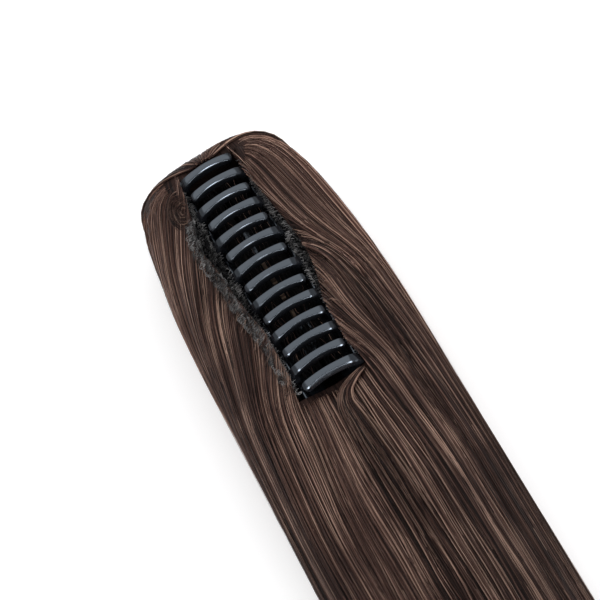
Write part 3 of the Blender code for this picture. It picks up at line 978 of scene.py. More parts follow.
class StrandTree(Graph):
    """Geometry Nodes that grow tapering strands along a flow sheet."""

    def __init__(self) -> None:
        """Build the tree once, for every coat to share."""
        super().__init__(bpy.data.node_groups.new("grow_strands", "GeometryNodeTree"))
        self.identifiers: dict[str, str] = {}
        self.add_input("Sheet", "NodeSocketGeometry")
        for size in fields(StrandStyle):
            whole = size.name in ("count", "steps", "seed")
            self.add_input(self.label(size.name), "NodeSocketInt" if whole else "NodeSocketFloat")
        self.add_input("Finish", "NodeSocketMaterial")
        self.tree.interface.new_socket("Strands", in_out="OUTPUT", socket_type="NodeSocketGeometry")
        self.given = self.node("NodeGroupInput").of
        self.build()

    @staticmethod
    def label(name: str) -> str:
        """The name of the input that takes one of a style's sizes."""
        return name.replace("_", " ").title()

    def add_input(self, name: str, kind: str) -> None:
        """Add a named input to the tree."""
        socket = self.tree.interface.new_socket(name, in_out="INPUT", socket_type=kind)
        self.identifiers[name] = socket.identifier

    def geometry(self, kind: str, values: dict | None = None, settings: dict | None = None) -> Socket:
        """Add a node of the geometry kind, its values first."""
        return self.node(f"GeometryNode{kind}", settings, values)

    def random(self, low: Socket | float, high: Socket | float, salt: int) -> Socket:
        """A random number for each strand.

        Args:
            low: The least value.
            high: The greatest value.
            salt: Tells this draw from the others.

        Returns:
            The number.
        """
        seed = self.given("Seed") * 31.0 + float(salt)
        values = {"Min": low, "Max": high, "ID": self.strand_number, "Seed": seed}
        return self.node("FunctionNodeRandomValue", {"data_type": "FLOAT"}, values)

    def drawn(self, name: str, salt: int) -> Socket:
        """A random number for each strand between a size's low and high inputs."""
        return self.random(self.given(f"{name} Low"), self.given(f"{name} High"), salt)

    def read(self, name: str, spot: Socket) -> Socket:
        """One of the sheet's vectors, read at a place of its flow map.

        Args:
            name: The position, or one of the sheet's directions.
            spot: The place of the flow map.

        Returns:
            The vector.
        """
        kind = {"data_type": "FLOAT_VECTOR"}
        if name == "position":
            value = self.geometry("InputPosition")
        else:
            value = self.geometry("InputNamedAttribute", {"Name": name}, kind)
        flow = self.geometry("InputNamedAttribute", {"Name": "flow"}, kind)
        values = {"Mesh": self.given("Sheet"), "Value": value, "UV Map": flow, "Sample UV": spot}
        return self.geometry("SampleUVSurface", values, kind)

    def blank_strands(self) -> Socket:
        """As many straight strands as asked for, still all in one place.

        Returns:
            The strands.
        """
        line = self.geometry("CurvePrimitiveLine")
        fine = self.geometry("ResampleCurve", {"Curve": line, "Count": self.given("Steps")})
        spots = self.geometry("MeshLine", {"Count": self.given("Count")})
        placed = self.geometry("InstanceOnPoints", {"Points": spots, "Instance": fine})
        return self.geometry("RealizeInstances", {"Geometry": placed})

    def wave(self, across: Socket, along: Socket, layer: float) -> Socket:
        """Noise about zero that runs along the strands, one layer for each use."""
        return self.noise(self.combine(across, along, layer), 1.0, 1.0) - 0.5

    def place_strands(self, run: Socket) -> tuple[Socket, Socket, Socket]:
        """Work out where the strands lie on the sheet.

        Args:
            run: How far along its strand each point is.

        Returns:
            Each strand's place across the sheet, its points' places along it, and both
            as a place of the flow map once the strands are gathered and have strayed.
        """
        given = self.given
        place = (self.strand_number + self.random(0.0, 1.0, 1)) / given("Count")
        warp = self.wave(place * 5.0, given("Seed") * 2.3, 0.0)
        lock = ((place + warp * 0.16) * given("Locks")).floor()
        values = {"Min": 0.0, "Max": 1.0, "ID": lock, "Seed": given("Seed")}
        luck = self.node("FunctionNodeRandomValue", {"data_type": "FLOAT"}, values)
        reach = self.drawn("Reach", 3) - luck * given("Ragged")
        along = (self.drawn("Start", 2) + reach * run ** given("Bias")).clamp()
        centre = (lock + 0.5 + (luck - 0.5) * 0.8) / given("Locks")
        pull = given("Gather") * (along * along * 0.3 + along**6.0 * 0.7)
        pull = pull * ((1.0 - place) * 14.0).clamp()
        drift = self.wave(place * 14.0, along * given("Waves"), 3.0)
        stray = self.wave(self.own, along * given("Waves") * 1.6, 9.0)
        across = place + (centre - place) * pull + (drift * 2.2 + stray) * given("Wander")
        return place, along, self.combine(across.clamp(0.002, 0.998), along)

    def lay(self, run: Socket, along: Socket, spot: Socket) -> Socket:
        """Lift the strands off the sheet, curl them and keep them above the floor.

        Args:
            run: How far along its strand each point is.
            along: The points' places along the sheet.
            spot: Their places on its flow map.

        Returns:
            The points' positions.
        """
        given = self.given
        lift = self.wave(self.own, along * given("Waves") * 1.3, 21.0)
        height = lift * 2.0 * given("Waver") - self.drawn("Depth", 4)
        angle = self.random(0.0, math.tau, 5) + run * given("Turns") * math.tau
        curl = given("Curl") * self.random(0.5, 1.3, 6)
        total = self.read("position", spot)
        shifts = (("out", height + curl * angle.cos()), ("across", curl * angle.sin()))
        for name, length in shifts:
            shift = self.scaled(self.read(name, spot), length)
            total = self.node("ShaderNodeVectorMath", {"operation": "ADD"}, {0: total, 1: shift})
        parts = self.node("ShaderNodeSeparateXYZ", {}, {"Vector": total})
        return self.combine(parts.of("X"), parts.of("Y"), parts.of("Z").most(given("Radius")))

    def build(self) -> None:
        """Lay every strand on the sheet, give it thickness and dress it."""
        strands = self.blank_strands()
        domain = {"data_type": "INT", "domain": "CURVE"}
        self.strand_number = self.geometry(
            "FieldOnDomain", {"Value": self.geometry("InputIndex")}, domain
        )
        self.own = self.strand_number * 0.713
        run = self.geometry("SplineParameter")
        place, along, spot = self.place_strands(run)
        position = self.lay(run, along, spot)
        laid = self.geometry("SetPosition", {"Geometry": strands, "Position": position})
        taper = (run * 14.0 + 0.45).clamp() * ((1.0 - run) * 15.0 + 0.12).clamp()
        width = self.given("Radius") * taper * self.random(0.65, 1.35, 7)
        band = self.combine(place * self.given("Bands"), along * 1.5, self.given("Seed"))
        tone = self.random(-0.5, 0.5, 8) * 1.25 + (self.noise(band) - 0.5) * 1.1 + 0.45
        kept = {"data_type": "FLOAT", "domain": "POINT"}
        for name, value in (("tone", tone.clamp()), ("place", place), ("along", along)):
            values = {"Geometry": laid, "Name": name, "Value": value}
            laid = self.geometry("StoreNamedAttribute", values, kept)
        ring = self.geometry("CurvePrimitiveCircle", {"Resolution": 3, "Radius": 1.0})
        values = {"Curve": laid, "Profile Curve": ring, "Scale": width, "Fill Caps": True}
        tubes = self.geometry("SetShadeSmooth", {"Geometry": self.geometry("CurveToMesh", values)})
        tubes = self.geometry("RealizeInstances", {"Geometry": tubes})
        values = {"Geometry": tubes, "Material": self.given("Finish")}
        self.node("NodeGroupOutput", {}, {"Strands": self.geometry("SetMaterial", values)})

    def grow(
        self,
        name: str,
        sheet: FlowSheet,
        style: StrandStyle,
        finish: Material,
        body: str = "root",
        slot: Slot = Slot.HAIR,
    ) -> None:
        """Grow one coat, turn it into a plain mesh and hang it on its body.

        Args:
            name: The piece's name.
            sheet: What the strands run over.
            style: The coat's sizes.
            finish: The coat's material.
            body: The body that it moves with.
            slot: Its material slot.
        """
        guide = link(f"{name}_guide", sheet.mesh())
        modifier = guide.modifiers.new("strands", "NODES")
        modifier.node_group = self.tree
        for size in fields(style):
            modifier[self.identifiers[self.label(size.name)]] = getattr(style, size.name)
        modifier[self.identifiers["Finish"]] = finish
        settle(baked(name, guide), body, slot)


def link(name: str, data: bpy.types.ID) -> Object:
    """Make an object and put it in the scene.

    Args:
        name: The object's name.
        data: Its mesh, camera or light.

    Returns:
        The object.
    """
    made = bpy.data.objects.new(name, data)
    bpy.context.scene.collection.objects.link(made)
    return made


def add_piece(name: str, mesh: Mesh, finish: Material | None = None) -> Object:
    """Carry a mesh made in the clip's frame to the clip's place, and dress it.

    Args:
        name: The piece's name.
        mesh: Its mesh, which is changed.
        finish: Its material, if the mesh doesn't bring one.

    Returns:
        The piece.
    """
    mesh.name = name
    if finish:
        mesh.materials.clear()
        mesh.materials.append(finish)
    mesh.transform(Matrix.Translation(CLIP_PLACE))
    return link(name, mesh)


def baked(name: str, source: Object, finish: Material | None = None) -> Object:
    """Turn an object's evaluated result into a plain piece at the clip's place.

    Args:
        name: The piece's name.
        source: The object, which is removed.
        finish: The piece's material, if the result brings none.

    Returns:
        The piece.
    """
    bpy.context.view_layer.update()
    evaluated = source.evaluated_get(bpy.context.evaluated_depsgraph_get())
    mesh = bpy.data.meshes.new_from_object(evaluated)
    bpy.data.objects.remove(source, do_unlink=True)
    return add_piece(name, mesh, finish)


def settle(piece: Object, body: str, slot: Slot, *nodes: str) -> None:
    """Hang a piece on its body, hide the CAD nodes that it stands for, and report its triangle count.

    Args:
        piece: The piece.
        body: The body that it moves with.
        slot: Its material slot; not used.
        nodes: The CAD nodes that it stands for.
    """
    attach(piece, body)
    if nodes:
        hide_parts(*nodes)
    triangles = sum(len(face.vertices) - 2 for face in piece.data.polygons)
    LOG.info("%s: %d triangles on %s", piece.name, triangles, body)


def loft(name: str, rings: list[list[Vector]]) -> Mesh:
    """Bridge closed rings of equal count and cap both ends.

    Args:
        name: The mesh's name.
        rings: The rings, in order.

    Returns:
        A closed mesh, shaded smooth.
    """
    geometry = bmesh.new()
    rows = [[geometry.verts.new(point) for point in ring] for ring in rings]
    count = len(rows[0])
    for lower, upper in zip(rows, rows[1:]):
        for i in range(count):
            j = (i + 1) % count
            geometry.faces.new((lower[i], lower[j], upper[j], upper[i]))
    geometry.faces.new(list(reversed(rows[0])))
    geometry.faces.new(rows[-1])
    bmesh.ops.recalc_face_normals(geometry, faces=geometry.faces)
    mesh = bpy.data.meshes.new(name)
    geometry.to_mesh(mesh)
    geometry.free()
    mesh.shade_smooth()
    return mesh


@dataclass
class HairCore:
    """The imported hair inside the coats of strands, with the hollow for the clip."""

    form: HairForm
    inset: float = 2.4 * MM
    lip_wall: float = 0.5 * MM
    flank_steps: int = 40
    arc_steps: int = 18
    side_stations: int = 44
    crown_reach: float = 0.13
    tail_reach: float = 0.72

    def full_ring(self, y: float) -> list[Vector]:
        """A section with no hollow.

        Args:
            y: The place along the hair.

        Returns:
            The ring's points.
        """
        rises = shares(self.flank_steps + 1)
        right = [self.form.point(Side.RIGHT, rise, y, self.inset) for rise in rises]
        left = [self.form.point(Side.LEFT, rise, y, self.inset) for rise in rises[:-1]]
        return right + left[::-1]

    def side_ring(self, side: Side, y: float) -> list[Vector]:
        """A section of one side, open to the clip.

        Args:
            side: The side.
            y: The place along the hair.

        Returns:
            The ring's points.
        """
        edge = self.form.lip_rise(side, y)
        outer = [
            self.clear(self.form.point(side, edge * i / self.flank_steps, y, self.inset))
            for i in range(self.flank_steps + 1)
        ]
        foot = outer[0]
        upper = math.asin(min(abs(outer[-1].x) / SWING_RADIUS, 1.0))
        arcs = ((SWING_RADIUS, upper, SWING_REACH), (LEVER_SWING_RADIUS, SWING_REACH, math.pi))
        inner = [
            on_arc(side, radius, blend(low, high, i / self.arc_steps), y)
            for radius, low, high in arcs
            for i in range(self.arc_steps + 1)
        ]
        return outer + inner + [Vector((0.0, y, foot.z)), Vector((foot.x / 2, y, foot.z))]

    def clear(self, point: Vector) -> Vector:
        """Keep a point of the outer form outside the hollow for the clip.

        Args:
            point: The point.

        Returns:
            The point, moved outward where it lay in the hollow.
        """
        arm = Vector((point.x, 0.0, point.z - HINGE_HEIGHT))
        least = SWING_RADIUS + self.lip_wall
        if arm.z < 0 or arm.length >= least:
            return point
        arm *= least / arm.length
        return Vector((arm.x, point.y, HINGE_HEIGHT + arm.z))

    def add_flow(self, mesh: Mesh) -> None:
        """Give a core a flow map: U round the section and V along the hair.

        Args:
            mesh: The core's mesh, in the clip's frame.
        """
        flow = mesh.uv_layers.new(name="flow")
        for loop, corner in zip(mesh.loops, flow.data):
            spot = mesh.vertices[loop.vertex_index].co
            turn = math.atan2(spot.x, spot.z - CREST_HEIGHT * 0.42)
            corner.uv = (0.5 + turn / math.tau, -spot.y / TAIL_LENGTH)

    def build(self, finish: Material) -> None:
        """Make the crown, the two sides and the tail.

        Args:
            finish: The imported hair's material.
        """
        edge = JAW_HALF + 0.5 * MM
        crown = [edge + self.crown_reach * JAW_HALF * run**0.7 for run in shares(15)]
        end = -JAW_HALF - TAIL_LENGTH * self.tail_reach
        rings = {
            "crown": [self.full_ring(y) for y in crown],
            "tail": [self.full_ring(blend(-edge, end, run)) for run in shares(61)],
        }
        stations = [edge - 2 * edge * run for run in shares(self.side_stations + 1)]
        for side in Side:
            rings[side.word] = [self.side_ring(side, y) for y in stations]
        for word, sections in rings.items():
            mesh = loft(word, sections)
            self.add_flow(mesh)
            core = add_piece(f"{word}_core", mesh, finish)
            settle(core, "root", Slot.HAIR, f"{word}_hair")


@dataclass
class Mantle:
    """The coats of strands over one side, from the clip to the free ends."""

    form: HairForm
    side: Side
    columns: int = 96
    rows: int = 110

    def sheet(self) -> FlowSheet:
        """The flow sheet of this side, with its locks in relief.

        Returns:
            The flow sheet.
        """
        grid = []
        for share in shares(self.columns):
            smoothing = 6 if share < self.form.started(self.side, -JAW_HALF) else 2
            grid.append(resample(self.form.strand(self.side, share), self.rows, smoothing))
        across = np.linspace(0.0, 1.0, self.columns)[:, None]
        place = across * self.form.locks
        spread = np.abs(2 * (place - np.floor(place)) - 1)
        relief = self.form.lock_relief * (spread**2.4) * np.minimum(1.0, 4 * across)
        fade = np.minimum(np.linspace(0.0, 1.0, self.rows)[None, :] * 8, 1.0)
        sheet = FlowSheet("mantle", grid, self.side is Side.LEFT)
        sunk = sheet.grid - sheet.out * (relief * fade)[:, :, None]
        return FlowSheet(f"{self.side.word}_mantle", sunk, self.side is Side.LEFT)

    def build(self, tree: StrandTree, finish: Material) -> None:
        """Grow an inner and an outer coat, and a few loose hairs.

        Args:
            tree: What grows the strands.
            finish: The strands' material.
        """
        sheet = self.sheet()
        seed = 10 if self.side is Side.LEFT else 40
        coats = {
            "inner": StrandStyle(
                400, 24, 0.31 * MM, reach_low=0.88, depth_low=0.8 * MM, depth_high=1.3 * MM
            ),
            "outer": StrandStyle(
                1130, 29, 0.125 * MM, reach_low=0.84, depth_high=0.7 * MM, bias=1.75
            ),
            "loose": StrandStyle(
                26, 40, 0.06 * MM, reach_low=0.80, depth_low=-0.9 * MM, depth_high=0.0,
                wander=0.05, waver=0.7 * MM, waves=3.0, gather=0.0,
            ),
        }
        for i, (word, style) in enumerate(coats.items()):
            name = f"{self.side.word}_{word}_strands"
            tree.grow(name, sheet, replace(style, seed=seed + i), finish)


@dataclass
class Cap:
    """The strands that fall over the crown's face, away from the clip."""

    form: HairForm
    columns: int = 41
    rows: int = 40
    steps: int = 160
    near_share: float = 0.60
    far_share: float = 0.995
    near_edge: float = 1.02
    far_edge: float = 0.80
    nose: float = 1.24
    foot: float = 0.6 * MM
    depth: float = 0.5 * MM

    def outline(self, side: Side, z: float, y: float) -> float:
        """Half width of one side of the form at a height and a place along the hair.

        Args:
            side: The side.
            z: The height.
            y: The place along the hair.

        Returns:
            The half width, which is 0 above and below the form.
        """
        width, top, middle, under = self.form.section(side, y)
        if z >= top or z <= under:
            return 0.0
        if z > middle:
            s = ((z - middle) / (top - middle)) ** (self.form.power / 2)
        else:
            reach = (middle - under) * self.form.under_flatten
            s = min((middle - z) / reach, 1.0) ** (self.form.power / 2)
        return width * math.sqrt(max(1.0 - s * s, 0.0)) ** (2 / self.form.power)

    def face(self, side: Side, share: float, edge: float, z: float) -> Vector:
        """The furthest point of the crown's face at a height.

        Args:
            side: The side.
            share: How far out, as a share of the half width at the face's edge.
            edge: Place of that edge along the hair.
            z: The height.

        Returns:
            The point.
        """
        low, high = edge, JAW_HALF * self.nose
        x = share * self.outline(side, z, low)
        for _ in range(24):
            y = (low + high) / 2
            if self.outline(side, z, y) > x:
                low = y
            else:
                high = y
        return Vector((side.value * x, low, z))

    def sheet(self) -> FlowSheet:
        """Columns that start at the clip, spread, and fall to the floor.

        Returns:
            The flow sheet.
        """
        top = self.form.section(Side.RIGHT, JAW_HALF * self.near_edge)[1] * 0.995
        grid = []
        for i in range(self.columns):
            across = 2 * i / (self.columns - 1) - 1
            path = []
            for run in shares(self.steps):
                z = blend(self.foot, top, 1 - run**2.2)
                spread = blend(self.near_share, self.far_share, ease(run))
                edge = blend(self.near_edge, self.far_edge, ease(run * 1.5))
                path.append(self.face(Side.of(across), abs(across) * spread, edge * JAW_HALF, z))
            grid.append(resample(path, self.rows, 3))
        return FlowSheet("cap", grid)

    def build(self, tree: StrandTree, finish: Material) -> None:
        """Grow the coat.

        Args:
            tree: What grows the strands.
            finish: The strands' material.
        """
        style = StrandStyle.loose(
            430, 16, 0.25 * MM, start_high=0.03, reach_low=0.96, depth_low=self.depth,
            depth_high=self.depth * 3, wander=0.02, bands=22.0, seed=80,
        )
        tree.grow("crown_strands", self.sheet(), style, finish)


@dataclass
class Whorl:
    """The small swirl of hair beside the first teeth, on the left."""

    form: HairForm
    centre: tuple = (-17.0 * MM, 42.6 * MM)
    inner: float = 0.7 * MM
    outer: float = 7.2 * MM
    stretch: float = 1.55
    inner_turns: tuple = (math.radians(0.0), math.radians(330.0))
    outer_turns: tuple = (math.radians(78.0), math.radians(236.0))
    lift: float = 0.45 * MM
    columns: int = 16
    rows: int = 40

    def sheet(self) -> FlowSheet:
        """Arcs about the swirl's centre, laid on the hair.

        Returns:
            The flow sheet.
        """
        grid = []
        for share in shares(self.columns):
            radius = blend(self.inner, self.outer, share)
            ends = zip(self.inner_turns, self.outer_turns)
            begin, end = (blend(near, far, share) for near, far in ends)
            column = []
            for run in shares(self.rows):
                turn = blend(begin, end, run)
                x = self.centre[0] + radius * math.cos(turn)
                y = self.centre[1] + radius * math.sin(turn) * blend(1, self.stretch, share)
                column.append((x, y, self.form.height(x, y) + self.lift * (1 - share)))
            grid.append(column)
        return FlowSheet("whorl", grid)

    def build(self, tree: StrandTree, finish: Material) -> None:
        """Grow the swirl.

        Args:
            tree: What grows the strands.
            finish: The strands' material.
        """
        style = StrandStyle.loose(
            170, 17, 0.085 * MM, start_high=0.5, reach_low=0.3, reach_high=0.6,
            depth_low=-0.1 * MM, depth_high=0.5 * MM, wander=0.10, waver=0.25 * MM, waves=3.0,
            seed=90,
        )
        tree.grow("left_whorl_strands", self.sheet(), style, finish)


# Middle lines of the loose locks: place across and along, width, and height over the
# other hair, all in millimetres.
SWOOP_PATH = (
    # across, along, width, lift
    (13.5, -58.2, 1.5, -1.6),
    (9.5, -59.6, 2.5, 0.2),
    (5.8, -61.0, 4.0, 0.6),
    (2.4, -63.0, 6.0, 0.6),
    (0.4, -67.0, 8.0, 0.5),
    (0.0, -73.0, 10.0, 0.4),
    (0.4, -86.0, 12.0, 0.2),
    (1.2, -108.0, 14.0, 0.0),
    (2.0, -145.0, 16.0, -0.4),
)
BURST_PATH = (
    # across, along, width, lift
    (17.5, 1.5, 2.0, -1.2),
    (20.0, -1.5, 3.2, 0.5),
    (23.2, -5.5, 4.5, 0.8),
    (26.2, -12.0, 5.5, 0.7),
    (28.4, -22.0, 6.5, 0.4),
    (30.0, -38.0, 8.0, 0.2),
    (31.0, -60.0, 9.0, 0.0),
    (31.5, -95.0, 10.0, -0.3),
)


@dataclass
class LooseLock:
    """A lock that runs over the others in a curve of its own."""

    form: HairForm
    name: str
    path: tuple
    count: int
    seed: int
    columns: int = 9
    rows: int = 60

    def sheet(self) -> FlowSheet:
        """A band along the lock's path, laid on the hair.

        Returns:
            The flow sheet.
        """
        table = Table.even(self.path)
        grid = np.zeros((self.columns, self.rows, 3))
        for j, t in enumerate(shares(self.rows)):
            x, y, width, lift = table.at(t)
            ahead, behind = table.at(min(t + 0.01, 1.0)), table.at(max(t - 0.01, 0.0))
            run = Vector((ahead[0] - behind[0], ahead[1] - behind[1])).normalized()
            for i, share in enumerate(shares(self.columns)):
                slide = (share - 0.5) * width
                spot = Vector((x + run.y * slide, y - run.x * slide)) * MM
                grid[i, j] = (spot.x, spot.y, self.form.height(spot.x, spot.y) + lift * MM)
        return FlowSheet(self.name, grid)

    def build(self, tree: StrandTree, finish: Material) -> None:
        """Grow the lock.

        Args:
            tree: What grows the strands.
            finish: The strands' material.
        """
        style = StrandStyle.loose(
            self.count, 26, 0.12 * MM, start_high=0.12, reach_low=0.6, depth_low=-0.1 * MM,
            depth_high=0.5 * MM, wander=0.06, waver=0.2 * MM, bias=1.2, seed=self.seed,
        )
        tree.grow(self.name, self.sheet(), style, finish)


@dataclass
class LipFrizz:
    """Short hair and thread that bristle out over the lip of the mouth."""

    form: HairForm
    side: Side
    tuck: float = 2.0 * MM
    gap: float = 0.8 * MM
    columns: int = 90
    rows: int = 14

    def grid(self, first: float, last: float, reach: float, slip: float) -> np.ndarray:
        """Points that rise from inside the lip and run out over it.

        Args:
            first: Where the lip's stretch starts, as a share of half the jaw length.
            last: Where it ends.
            reach: How far out the rows run.
            slip: How far they drift towards the tail on the way.

        Returns:
            Points by place along the lip, then outward.
        """
        grid = []
        for share in shares(self.columns):
            y = JAW_HALF * blend(first, last, share)
            edge = self.form.lip_rise(self.side, y)
            crest = self.form.point(self.side, edge, y)
            inner = self.side.value * (abs(crest.x) - self.tuck)
            low = min(over_swing(inner, self.gap), crest.z - 0.4 * MM)
            column = [Vector((inner, y + 1.0 * MM, low)), crest]
            fall = reach / self.form.section(self.side, y)[0] * 0.62
            for run in shares(6)[1:]:
                column.append(self.form.point(self.side, edge - run * fall, y - run * slip))
            grid.append(resample(column, self.rows, 1))
        return np.array(grid)

    def bristles(self, tree: StrandTree, finish: Material) -> None:
        """Grow short hair out over the lip.

        Args:
            tree: What grows the strands.
            finish: The strands' material.
        """
        right = self.side is Side.RIGHT
        grid = self.grid(0.0 if right else 0.10, -0.94, 6.0 * MM, 5.0 * MM)
        style = StrandStyle(
            60 if right else 240, 9, 0.075 * MM, start_high=0.25, reach_low=0.2,
            reach_high=0.55, depth_low=-0.35 * MM, depth_high=0.25 * MM, wander=0.02,
            waver=0.4 * MM, waves=4.0, gather=0.1, curl=0.35 * MM, turns=0.9, bias=1.0,
            seed=150 if right else 160,
        )
        sheet = FlowSheet(f"{self.side.word}_bristles", grid, not right)
        tree.grow(f"{self.side.word}_lip_bristles", sheet, style, finish)

    def curls(self, tree: StrandTree, finish: Material) -> None:
        """Grow curly thread over the left lip, where the real band is widest.

        Args:
            tree: What grows the strands.
            finish: The thread's material.
        """
        grid = self.grid(0.66, -0.94, 1.4 * MM, 0.0).transpose(1, 0, 2)
        style = StrandStyle.loose(
            330, 30, 0.070 * MM, start_high=0.94, reach_low=0.02, reach_high=0.06,
            depth_low=-0.6 * MM, depth_high=0.5 * MM, wander=0.35, waver=0.25 * MM, waves=60.0,
            curl=0.62 * MM, turns=4.5, seed=170,
        )
        sheet = FlowSheet("left_lip_curls", grid)
        tree.grow("left_lip_curls", sheet, style, finish, slot=Slot.THREAD)

    def build(self, tree: StrandTree, hair: Material, thread: Material) -> None:
        """Grow what this side's lip carries.

        Args:
            tree: What grows the strands.
            hair: The short hair's material.
            thread: The thread's material.
        """
        self.bristles(tree, hair)
        if self.side is Side.LEFT:
            self.curls(tree, thread)


@dataclass
class Underside:
    """The strands that the hairpiece lies on."""

    form: HairForm
    columns: int = 24
    rows: int = 90
    clearance: float = 0.45 * MM

    def sheet(self) -> FlowSheet:
        """A sheet just above the floor.

        Returns:
            The flow sheet.
        """
        grid = np.zeros((self.columns, self.rows, 3))
        for j, run in enumerate(shares(self.rows)):
            y = blend(JAW_HALF * 1.05, TAIL_END, run)
            left, right = (self.form.point(side, 0.0, y).x for side in Side)
            for i, share in enumerate(shares(self.columns)):
                grid[i, j] = (blend(left, right, share), y, self.clearance)
        return FlowSheet("underside", grid, True)

    def build(self, tree: StrandTree, finish: Material) -> None:
        """Grow the coat.

        Args:
            tree: What grows the strands.
            finish: The strands' material.
        """
        style = StrandStyle(
            210, 24, 0.26 * MM, reach_low=0.9, depth_high=0.1 * MM, waver=0.06 * MM, bias=1.0,
            seed=70,
        )
        tree.grow("under_strands", self.sheet(), style, finish)


# Jaw wall from the hinge up, the right jaw: across as a share of the jaw's half width,
# rise as a share of the tines' rise.
WALL_LINE = ((0.620, 0.200), (0.820, 0.360), (0.898, 0.480))

# Tine from its foot in the wall over the top to its tip, in the same shares, with its
# width and depth as shares of the tine's own.
TINE_LINE = (
    # across, rise, width, depth
    (0.885, 0.380, 1.25, 0.80),
    (0.890, 0.480, 1.10, 0.86),
    (0.895, 0.600, 1.10, 1.15),
    (0.880, 0.735, 1.10, 1.22),
    (0.795, 0.825, 1.00, 1.00),
    (0.640, 0.878, 1.00, 1.00),
    (0.330, 0.918, 0.98, 1.00),
    (0.000, 0.938, 0.96, 1.00),
    (-0.300, 0.922, 0.97, 1.00),
    (-0.550, 0.888, 1.00, 1.00),
    (-0.680, 0.865, 0.97, 0.98),
    (-0.745, 0.853, 0.86, 0.92),
    (-0.785, 0.845, 0.64, 0.76),
    (-0.803, 0.841, 0.30, 0.40),
)

# Lever from the hinge down: across as a share of the jaw's half width, drop as a share
# of the lever's drop.
LEVER_LINE = ((0.465, 0.430), (0.670, 0.770), (0.850, 1.000))


@dataclass
class Jaw:
    """One moulded jaw of the clip."""

    side: Side
    half_width: float = 14.3 * MM
    wall: float = 2.2 * MM
    tine_count: int = 14
    tine_width: float = 3.9 * MM
    lever_drop: float = 14.2 * MM
    lever_width: float = 46.0 * MM
    lug_radius: float = 3.6 * MM
    lug_width: float = 7.4 * MM
    lug_centre: float = 26.0 * MM
    clearance: float = 0.3 * MM
    bore_radius: float = 1.4 * MM
    edge: float = 0.40 * MM
    broad_edge: float = 0.80 * MM
    sharp_edge: float = 0.14 * MM
    sharp_angle: float = math.radians(33.0)
    facet_run: float = 0.60
    facet_drop: float = 0.80
    waist: float = 0.32
    tine_steps: int = 42
    corner_steps: int = 4
    lug_steps: int = 20
    bar_sides: int = 40

    def tine_place(self, number: int) -> float:
        """Place along Y of a tine, counted from the crown."""
        pitch = (JAW_LENGTH - self.tine_width) / (self.tine_count - 1)
        return ((self.tine_count - 1) / 2 - number) * pitch

    def spot(self, across: float, rise: float) -> Vector:
        """A point of the jaw's section."""
        x = self.side.value * across * self.half_width
        return Vector((x, HINGE_HEIGHT + rise * TINE_RISE))

    def rounded(self, half_width: float, half_depth: float, edges: tuple) -> list:
        """A rectangle with rounded corners, and a flat facet at the top towards the tail.

        Args:
            half_width: Half the rectangle's width.
            half_depth: Half its depth.
            edges: The size of each corner's round.

        Returns:
            Points, as places across the width and the depth.
        """
        corners = ((-1, 1), (1, 1), (1, -1), (-1, -1))
        starts = (math.pi, math.pi / 2, 0.0, -math.pi / 2)
        ring = []
        for corner, ((w, d), begin, size) in enumerate(zip(corners, starts, edges)):
            size = min(size, half_width * 0.95, half_depth * 0.95)
            for share in shares(self.corner_steps + 1):
                turn = begin - math.pi / 2 * share
                x = w * (half_width - size) + size * math.cos(turn)
                z = d * (half_depth - size) + size * math.sin(turn)
                if corner == 0:
                    x = share * size * self.facet_run - half_width
                    z = half_depth - (1 - share) * size * self.facet_drop
                ring.append((x, z))
        return ring

    def tine(self, number: int) -> list[list[Vector]]:
        """Rings of one tine, flat on top, with a keen edge at the middle of its span.

        Args:
            number: The tine, counted from the crown.

        Returns:
            The rings, from the foot to the tip.
        """
        table = Table.even(TINE_LINE)
        y = self.tine_place(number)
        rings = []
        for t in shares(self.tine_steps + 1):
            across, rise, width, depth = table.at(t)
            ahead, behind = table.at(min(t + 0.01, 1.0)), table.at(max(t - 0.01, 0.0))
            along = (self.spot(*ahead[:2]) - self.spot(*behind[:2])).normalized()
            outward = Vector((along.y, -along.x)) * self.side.value
            centre = self.spot(across, rise)
            span = math.exp(-(((t - 0.56) / 0.17) ** 2))
            pull = self.waist * span * self.tine_width
            half_depth = depth * TINE_DEPTH / 2
            tail_edge = blend(self.broad_edge, self.sharp_edge, span)
            edges = (tail_edge, self.edge * 0.7, self.edge, self.edge)
            ring = []
            for w, d in self.rounded(width * self.tine_width / 2, half_depth, edges):
                if w < 0:
                    w += pull * (0.55 + 0.45 * d / half_depth)
                spot = centre + outward * d
                ring.append(Vector((spot.x, y + w, spot.y)))
            rings.append(ring)
        return rings

    def wall_ring(self, line: list[Vector], y: float, trim: float) -> list[Vector]:
        """A wall's section with a round at its free edge, at one place along Y.

        Args:
            line: The wall's middle line.
            y: The place along Y.
            trim: How much each face is set back.

        Returns:
            The ring's points.
        """
        half = self.wall / 2 - trim
        left, right = [], []
        for i, point in enumerate(line):
            before, after = line[max(i - 1, 0)], line[min(i + 1, len(line) - 1)]
            along = (after - before).normalized()
            normal = Vector((-along.y, along.x)) * half
            left.append(point + normal)
            right.append(point - normal)
        end = (line[-1] - line[-2]).normalized()
        normal = Vector((-end.y, end.x))
        for k in range(1, 6):
            turn = math.pi * k / 6
            left.append(line[-1] + (normal * math.cos(turn) + end * math.sin(turn)) * half)
        return [Vector((p.x, y, p.y)) for p in left + right[::-1]]

    def plate(self, line: list[Vector], half: float) -> Mesh:
        """A wall of even thickness with softened ends, drawn out along Y.

        Args:
            line: The wall's middle line.
            half: Half the plate's length along Y.

        Returns:
            The plate's mesh.
        """
        soft = self.edge * 0.8
        stations = [(-half, soft), (-half + soft * 0.3, soft * 0.3), (-half + soft, 0.0)]
        stations += [(-y, trim) for y, trim in stations[::-1]]
        table = Table([(i, p.x, p.y) for i, p in enumerate(line)])
        last = len(line) - 1
        smooth = [Vector(table.at(last * i / (last * 4))) for i in range(last * 4 + 1)]
        return loft("plate", [self.wall_ring(smooth, y, trim) for y, trim in stations])

